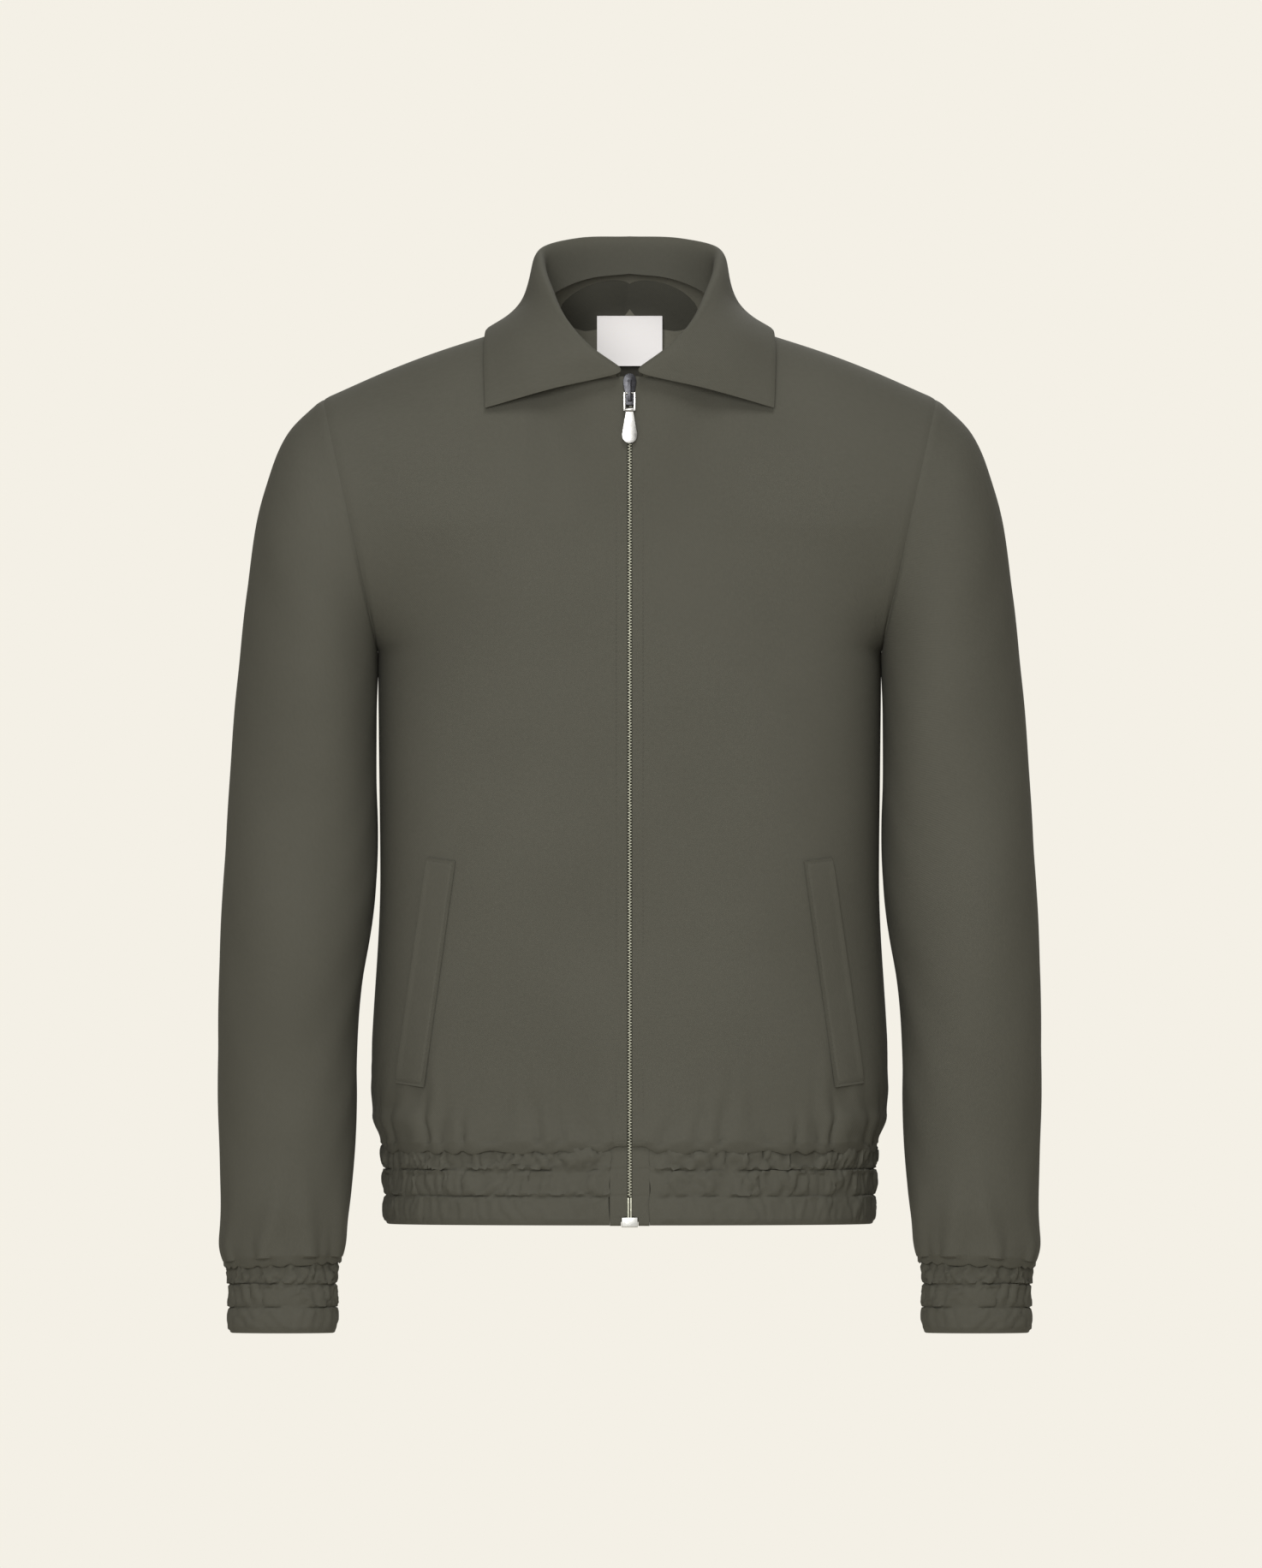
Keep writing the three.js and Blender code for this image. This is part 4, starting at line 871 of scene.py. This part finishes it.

# Woven polyester satin: smooth and softly shiny. Its emission is painted light: a faint glow that
# brightens the label as more lamp light would.
satin = woven("white_polyester_satin", "#EFEBE8", "#E6E2DE", 0.5, 0.03, 0.1)
satin_shader = satin.node_tree.nodes["Principled BSDF"]
satin_shader.inputs["Roughness"].default_value = 0.42
# Painted glow: emission that lightens the label, standing in for light falling on it.
satin_shader.inputs["Emission Color"].default_value = linear("#F2F1F4")
satin_shader.inputs["Emission Strength"].default_value = 0.27
satin_tree = satin.node_tree
plain_tone = satin_shader.inputs["Base Color"].links[0].from_socket
# Painted shadow: towards its top the label's colour is mixed a little towards grey, for the shade
# that the collar casts on it.
cut_place = node(satin_tree, "ShaderNodeUVMap", {"uv_map": "cut"})
split = node(satin_tree, "ShaderNodeSeparateXYZ", None, None,
             {"Vector": cut_place.outputs["UV"]})
shade = node(satin_tree, "ShaderNodeMapRange", {"interpolation_type": "SMOOTHSTEP"},
             {"From Min": 0.008, "From Max": 0.040, "To Min": 0.0, "To Max": 0.12},
             {"Value": split.outputs["Y"]})
label_tone_with_painted_shadow = node(satin_tree, "ShaderNodeMix", {"data_type": "RGBA"}, None,
              {"Factor": shade.outputs["Result"], "A": plain_tone})
label_tone_with_painted_shadow.inputs["B"].default_value = linear("#A39D98")
satin_tree.links.new(label_tone_with_painted_shadow.outputs["Result"], satin_shader.inputs["Base Color"])
finish_cloth(label, LIGHT_CLOTH, satin)
sew_in(label, ["neck_label"], "jacket_body", label_shape)

# ==== Facings behind the zip, hem tabs ==============================================
# A strip of lining faces each front behind the zip tape. Below the hem seam each front
# ends in a plain folded tab, where the elastic stops short of the zip.

TAPE = 0.6
TAPE_FRONT = CLOTH / 2 + 0.3
zip_place = Matrix.Translation((0, NECK_FRONT_Y, NECK_FRONT_Z)) @ Matrix.Rotation(-LEAN, 4, "X")
zip_matrix = np.array(zip_place)


def in_zip_frame(points):
    """Points given beside the zip, which runs down -Z with -Y out of the front."""
    return points @ zip_matrix[:3, :3].T + zip_matrix[:3, 3]


strip_u = np.concatenate([np.linspace(0.55, 1, 7)[:-1], np.linspace(1, 2, 14)])
uu, vv = np.meshgrid(strip_u, np.linspace(0, 13 / 14, 150))
facing_shape = half_panel("front", np.maximum(0, uu - 1) / 8, vv)
facing_shape[..., 0] = np.where(uu < 1, mix(ZIP_SLOT / 2, PLACKET, uu), facing_shape[..., 0])
facing_sink = TAPE_FRONT + TAPE + LAYER_GAP + LIGHT_CLOTH / 2
facing_shape = facing_shape - grid_normals(facing_shape) * facing_sink

HEM_END_Z = HEM_SEAM_Z - 1 - HEM_HEIGHT
ZIP_END = (HEM_END_Z - NECK_FRONT_Z) / math.cos(LEAN)
TAB_TOP = (HEM_SEAM_Z - 1 - NECK_FRONT_Z) / math.cos(LEAN)
BOX_HEIGHT = 6
BOX_WIDTH = 12
TAB_INNER_Y = TAPE_FRONT + TAPE + LAYER_GAP + CLOTH / 2
TAB_EDGE = 14.8
t = np.linspace(0, 1, 60)
wall_z = mix(TAB_TOP + 1.5, ZIP_END + 2, t)
first_row, second_row = (0.5 * np.exp(-((t - row) / 0.014) ** 2) for row in (1 / 3, 2 / 3))
outer_wall = np.stack([first_row + second_row, wall_z], -1)
turn = np.linspace(0, math.pi, 9)[1:-1]
fold_line = np.stack([TAB_INNER_Y / 2 * (1 - np.cos(turn)), ZIP_END + 2 - 1.4 * np.sin(turn)], -1)
inner_wall = np.stack([np.full(20, TAB_INNER_Y), np.linspace(ZIP_END + 2, TAB_TOP, 20)], -1)
tab_line = np.concatenate([outer_wall, fold_line, inner_wall])
by_the_box = tab_line[:, 1] < ZIP_END + BOX_HEIGHT + 0.5
beside_box = np.where(by_the_box, BOX_WIDTH / 2 + 0.5, ZIP_SLOT / 2)
beside_box = np.where(tab_line[:, 0] >= TAB_INNER_Y - 0.01, BOX_WIDTH / 2 + 0.8, beside_box)
across = np.linspace(0, 1, 14)
tab_shape = np.stack([
    beside_box[:, None] + (TAB_EDGE - beside_box)[:, None] * across,
    tab_line[:, :1] + 0 * across,
    tab_line[:, 1:] + 0 * across,
], axis=-1)
tab_shape = in_zip_frame(tab_shape)
for side in ("left", "right"):
    shape = facing_shape if side == "left" else mirrored(facing_shape)
    facing = grid_object(f"cloth_{side}_front_facing", shape)
    finish_cloth(facing, LIGHT_CLOTH, lining)
    sew_in(facing, [f"{side}_front_facing"], "jacket_body", shape)
    shape = tab_shape if side == "left" else mirrored(tab_shape)
    tab = grid_object(f"cloth_{side}_hem_tab", shape, turned=True)
    finish_cloth(tab, CLOTH, twill)
    sew_in(tab, [f"{side}_hem_tab"], "jacket_body", shape)

# ==== Pockets =======================================================================
# A slanted mouth in each front, closed by a narrow welt of the twill whose inner edge and
# ends are topstitched down. Behind it hangs a flat bag of lining.

WELT_WIDTH = 21
WELT_TOP = np.array([150.5, -393.0])
WELT_BOTTOM = np.array([174.0, -562.0])
BAG_DEPTH = 92
BAG_THICKNESS = 1.6
welt_down = WELT_BOTTOM - WELT_TOP
welt_slant = math.atan2(welt_down[0], -welt_down[1])


def pocket_place(along, inwards, lift):
    """Points by the pocket mouth, moved out from the front by lift."""
    x = mix(WELT_TOP[0], WELT_BOTTOM[0], along) - inwards * math.cos(welt_slant)
    z = mix(WELT_TOP[1], WELT_BOTTOM[1], along) - inwards * math.sin(welt_slant)
    half_width = eased(HALF_WIDTHS, z)
    depth = front_edge_y(z)
    y = depth * section_share(x, half_width, PLACKET)
    step = 0.5
    slope = depth * (section_share(x + step, half_width, PLACKET)
                     - section_share(x - step, half_width, PLACKET)) / (2 * step)
    normal = np.stack([slope, -1 + 0 * slope, 0 * slope], -1)
    normal = normal / np.linalg.norm(normal, axis=-1, keepdims=True)
    return np.stack([x, y, z], -1) + normal * np.asarray(lift)[..., None]


WELT_LENGTH = float(np.linalg.norm(welt_down))
WELT_THICKNESS = 0.9
inwards, along = np.meshgrid(np.linspace(WELT_WIDTH, 0, 31), np.linspace(1, 0, 150))
from_end = np.minimum(along, 1 - along) * WELT_LENGTH
sewn = np.minimum(from_end, WELT_WIDTH - inwards)
WELT_GAP = 0.25           # between the front and the welt that lies on it
welt_lift = CLOTH / 2 + WELT_GAP + 0.55 * smooth(sewn / 3)
welt_lift += 0.7 * smooth((4 - inwards) / 4) * smooth(from_end / 12)
welt_lift += 0.5 * np.exp(-(sewn / 0.9) ** 2) - 0.45 * np.exp(-((sewn - 2.2) / 0.8) ** 2)
welt_lift += 0.25 * lumps(inwards / 9, along * WELT_LENGTH / 14, 41) * smooth(sewn / 4)
welt_shape = pocket_place(along, inwards, welt_lift)
inwards, along = np.meshgrid(np.linspace(BAG_DEPTH, 3, 40), np.linspace(1.04, 0.02, 70))
BAG_INSET = 2             # the bag hangs a little behind the front
bag_lift = -(CLOTH / 2 + LAYER_GAP + BAG_THICKNESS / 2 + BAG_INSET)
bag_lift = bag_lift + 0.5 * lumps(inwards / 24, along * 5, 43)
bag_shape = pocket_place(along, inwards, bag_lift)

for side in ("left", "right"):
    for part, shape, thickness, cloth, part_slot in (
        ("pocket_welt", welt_shape, WELT_THICKNESS, twill, "shell_fabric"),
        ("pocket_bag", bag_shape, BAG_THICKNESS, lining, "lining"),
    ):
        shape = shape if side == "left" else mirrored(shape)
        piece = grid_object(f"cloth_{side}_{part}", shape)
        finish_cloth(piece, thickness, cloth)
        sew_in(piece, [f"{side}_{part}"], "jacket_body", shape)

# ==== Topstitching ==================================================================
# Polyester thread in the cloth's own shade, in lockstitches that sink a little into it,
# down both sides of the zip and round the sewn edges of the welts.

STITCH = 2.6
STITCH_GAP = 0.7
THREAD = 0.34

thread = woven("olive_polyester_thread", "#4B4A42", "#42403A", 0.3, 0.03, 0.0)
thread.node_tree.nodes["Principled BSDF"].inputs["Roughness"].default_value = 0.55


def stitches(name, lines):
    """Lockstitches along lines of (points, outward directions), in one mesh."""
    sides = 6
    ring = np.linspace(0, 2 * math.pi, sides, endpoint=False)
    profile = [(-0.5, 0.15), (-0.36, 0.8), (0, 1.0), (0.36, 0.8), (0.5, 0.15)]
    vertices, faces = [], []
    for points, outs in lines:
        run = np.concatenate([[0], np.cumsum(np.linalg.norm(np.diff(points, axis=0), axis=1))])
        for start in np.arange(0, run[-1] - STITCH, STITCH + STITCH_GAP):
            middle = start + STITCH / 2
            stations = [start, middle, start + STITCH]
            at = np.array([np.interp(stations, run, points[:, k]) for k in range(3)]).T
            out = np.array([np.interp(middle, run, outs[:, k]) for k in range(3)])
            direction = (at[2] - at[0]) / np.linalg.norm(at[2] - at[0])
            side = np.cross(direction, out)
            base = len(vertices)
            for share, width in profile:
                centre = at[1] + direction * share * STITCH + out * (0.12 - 1.1 * share ** 2)
                for a in ring:
                    spoke = side * math.cos(a) + out * math.sin(a)
                    vertices.append(centre + spoke * THREAD / 2 * width)
            for k in range(len(profile) - 1):
                for j in range(sides):
                    a, b = base + k * sides + j, base + k * sides + (j + 1) % sides
                    faces.append((a, b, b + sides, a + sides))
            faces.append(tuple(base + j for j in reversed(range(sides))))
            faces.append(tuple(base + (len(profile) - 1) * sides + j for j in range(sides)))
    mesh = bpy.data.meshes.new(name)
    mesh.from_pydata((np.array(vertices) * MM).tolist(), [], faces)
    made = bpy.data.objects.new(name, mesh)
    bpy.context.collection.objects.link(made)
    mesh.materials.append(thread)
    bpy.ops.object.select_all(action="DESELECT")
    bpy.context.view_layer.objects.active = made
    made.select_set(True)
    bpy.ops.object.mode_set(mode="EDIT")
    bpy.ops.mesh.select_all(action="SELECT")
    bpy.ops.mesh.normals_make_consistent(inside=False)
    bpy.ops.object.mode_set(mode="OBJECT")
    bpy.ops.object.shade_smooth()
    return made


def outwards_of(points):
    """Directions straight out of the front at points of the body."""
    sideways = points[:, 0] * 0.15 / 100
    directions = np.stack([sideways, -np.ones(len(points)), np.zeros(len(points))], -1)
    return directions / np.linalg.norm(directions, axis=1, keepdims=True)


STITCH_X = 10
zs = np.linspace(NECK_FRONT_Z - 30, HEM_SEAM_Z + 8, 120)
placket_line = np.stack([STITCH_X + 0 * zs, front_edge_y(zs) - CLOTH / 2, zs], -1)
inset = 2.2
corner_run = np.linspace(0, 1, 60)
end_share = inset / WELT_LENGTH
welt_paths = [
    (0 * corner_run + end_share, mix(1, WELT_WIDTH - inset, corner_run)),
    (mix(end_share, 1 - end_share, corner_run), 0 * corner_run + WELT_WIDTH - inset),
    (0 * corner_run + 1 - end_share, mix(WELT_WIDTH - inset, 1, corner_run)),
]
stitch_lift = CLOTH / 2 + WELT_GAP + WELT_THICKNESS / 2 + 0.1
welt_lines = [pocket_place(a, b, 0 * a + stitch_lift) for a, b in welt_paths]
for side, sign in (("left", 1), ("right", -1)):
    lines = [line * np.array([sign, 1, 1]) for line in [placket_line, *welt_lines]]
    seam_thread = stitches(f"{side}_topstitching", [(line, outwards_of(line)) for line in lines])
    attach(seam_thread, "jacket_body")

# ==== Zip ===========================================================================
# A metal-toothed separating zip: two cotton tapes with a beaded edge, nickel-silver teeth
# clamped on the beads, stops, a pin on each side and the box that they stand in.

TOOTH_PITCH = 2.2
CHAIN_THICKNESS = 2.6
CHAIN_MIDDLE_Y = -CLOTH / 2 + CHAIN_THICKNESS / 2
TAPE_WIDTH = 14
STOP_LOW = -4
PIN_TOP = ZIP_END + BOX_HEIGHT + 15


def metal(name, colour, roughness, grain, scratch):
    """A plated metal with fine scratches and slight differences in its shine."""
    material = bpy.data.materials.new(name)
    material.use_nodes = True
    tree = material.node_tree
    shader = tree.nodes["Principled BSDF"]
    place = node(tree, "ShaderNodeTexCoord").outputs["Object"]
    stains = node(tree, "ShaderNodeTexNoise", None,
                  {"Scale": 1 / (grain * MM), "Detail": 4.0}, {"Vector": place})
    shine_range = {"From Min": 0.3, "From Max": 0.7,
                   "To Min": roughness * 0.75, "To Max": roughness * 1.3}
    shine = node(tree, "ShaderNodeMapRange", None, shine_range, {"Value": stains.outputs["Fac"]})
    tree.links.new(shine.outputs["Result"], shader.inputs["Roughness"])
    marks = node(tree, "ShaderNodeBump", None, {"Strength": 0.25, "Distance": scratch * MM},
                 {"Height": stains.outputs["Fac"]})
    tree.links.new(marks.outputs["Normal"], shader.inputs["Normal"])
    shader.inputs["Base Color"].default_value = linear(colour)
    shader.inputs["Metallic"].default_value = 1.0
    return material


def work_on(piece):
    """Makes a piece the only selected and active one."""
    bpy.ops.object.select_all(action="DESELECT")
    bpy.context.view_layer.objects.active = piece
    piece.select_set(True)


tape_weave = woven("olive_cotton_tape", "#46453D", "#3D3C35", 0.9, 0.12, 0.05)
# Antique nickel silver: a warm grey-green metal, dulled by handling.
tooth_metal = metal("tumbled_nickel_silver", "#9B9B8D", 0.48, 2.0, 0.02)


def one_tooth():
    """One tooth clamped on the bead and reaching just past the middle of the zip."""
    bpy.ops.object.select_all(action="DESELECT")
    bpy.ops.mesh.primitive_cube_add(size=1, location=(0, 0, 0))
    tooth = bpy.context.object
    tooth.scale = (2.3, CHAIN_THICKNESS * 0.86, TOOTH_PITCH * 0.44)
    bpy.ops.object.transform_apply(location=False, rotation=False, scale=True)
    tooth.data.transform(Matrix.Translation((0.55, 0, 0)))
    bpy.ops.object.mode_set(mode="EDIT")
    bpy.ops.mesh.select_all(action="SELECT")
    bpy.ops.mesh.bevel(offset=0.32, segments=1, affect="EDGES")
    bpy.ops.object.mode_set(mode="OBJECT")
    corners = np.array([tuple(v.co) for v in tooth.data.vertices])
    faces = [tuple(p.vertices) for p in tooth.data.polygons]
    bpy.data.objects.remove(tooth)
    return corners, faces


def row_of_teeth(name, side, shift):
    """Teeth down one side of the zip, each a copy of the same tooth."""
    corners, faces = one_tooth()
    corners = corners * np.array([side, 1, 1])
    if side < 0:
        faces = [tuple(reversed(face)) for face in faces]
    heights = np.arange(STOP_LOW - 0.5 - shift * TOOTH_PITCH, PIN_TOP + 1, -TOOTH_PITCH)
    vertices, all_faces = [], []
    for z in heights:
        base = len(vertices)
        vertices.extend(corners + np.array([0, CHAIN_MIDDLE_Y, z]))
        all_faces.extend(tuple(base + k for k in face) for face in faces)
    mesh = bpy.data.meshes.new(name)
    mesh.from_pydata((in_zip_frame(np.array(vertices)) * MM).tolist(), [], all_faces)
    made = bpy.data.objects.new(name, mesh)
    bpy.context.collection.objects.link(made)
    mesh.materials.append(tooth_metal)
    work_on(made)
    bpy.ops.object.shade_smooth_by_angle(angle=math.radians(30))
    return made


def tape_shape():
    """A flat tape whose inner edge swells into the bead that the teeth grip."""
    t = np.linspace(0, 1, 26)
    zs = np.linspace(-1.5, ZIP_END + BOX_HEIGHT + 1, 140)
    xx, zz = np.meshgrid(mix(ZIP_SLOT / 2 - 0.6, TAPE_WIDTH, t), zs[::-1])
    y = TAPE_FRONT + TAPE / 2 - 0.5 * np.exp(-((xx - 1.6) / 0.7) ** 2)
    return in_zip_frame(np.stack([xx, y, zz], -1))


for side, sign in (("left", 1), ("right", -1)):
    teeth = row_of_teeth(f"{side}_fine_teeth", sign, 0.25 if side == "left" else 0.75)
    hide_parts(f"{side}_zip_teeth")
    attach(teeth, "jacket_body")
    shape = tape_shape() if side == "left" else mirrored(tape_shape())
    tape = grid_object(f"woven_{side}_zip_tape", shape)
    finish_cloth(tape, TAPE, tape_weave)
    sew_in(tape, [f"{side}_zip_tape"], "jacket_body", shape)


def eased_metal(name, source, finish, slot_name, body, bevel, angle=35):
    """A copy of a CAD piece with its edges rounded, as a cast or pressed one has."""
    made = frame["nodes"][source].copy()
    made.data = made.data.copy()
    made.name = name
    bpy.context.collection.objects.link(made)
    for key in list(made.keys()):
        if key.startswith("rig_"):
            del made[key]
    made.parent = None
    made.matrix_world = Matrix.Identity(4)
    made.hide_render = False
    made.hide_viewport = False
    shell = bmesh.new()
    shell.from_mesh(made.data)
    bmesh.ops.remove_doubles(shell, verts=shell.verts, dist=2e-6)
    bmesh.ops.dissolve_limit(shell, angle_limit=math.radians(1),
                             verts=shell.verts, edges=shell.edges)
    shell.to_mesh(made.data)
    shell.free()
    made.data.materials.clear()
    made.data.materials.append(finish)
    work_on(made)
    rounding = made.modifiers.new("rounding", "BEVEL")
    rounding.width = bevel * MM
    rounding.segments = 3
    rounding.limit_method = "ANGLE"
    rounding.angle_limit = math.radians(angle)
    rounding.use_clamp_overlap = True
    bpy.ops.object.modifier_apply(modifier=rounding.name)
    bpy.ops.object.shade_smooth_by_angle(angle=math.radians(40))
    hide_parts(source)
    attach(made, body)
    return made


# Black lacquer over die-cast zinc: dark and glossy.
black_zinc = metal("black_lacquered_zinc", "#26262A", 0.28, 3.0, 0.01)
black_zinc.node_tree.nodes["Principled BSDF"].inputs["Metallic"].default_value = 0.6
# Polished nickel plate on brass wire and sheet.
bright_nickel = metal("bright_nickel_plate", "#8F8E8B", 0.28, 4.0, 0.006)
# Brushed aluminium, pressed to shape.
pale_aluminium = metal("brushed_aluminium", "#B5B5B2", 0.42, 1.5, 0.01)
METAL_PIECES = [
    ("cast_slider_body", "slider_body", black_zinc, "zip_slider", "slider", 0.28),
    ("cast_slider_back_plate", "slider_back_plate", black_zinc, "zip_slider", "slider", 0.28),
    ("wire_pull_link", "pull_link", bright_nickel, "zip_pull", "stirrup", 0.35),
    ("stamped_pull_tab", "pull_tab", bright_nickel, "zip_pull", "tab", 0.3),
    ("pressed_retainer_box", "retainer_box", pale_aluminium, "zip_box", "jacket_body", 0.35),
    ("pressed_left_top_stop", "left_top_stop", tooth_metal, "zip_teeth", "jacket_body", 0.2),
    ("pressed_right_top_stop", "right_top_stop", tooth_metal, "zip_teeth", "jacket_body", 0.2),
    ("drawn_insertion_pin", "insertion_pin", tooth_metal, "zip_teeth", "jacket_body", 0.25),
    ("drawn_retainer_pin", "retainer_pin", tooth_metal, "zip_teeth", "jacket_body", 0.25),
]
for metal_piece in METAL_PIECES:
    eased_metal(*metal_piece)
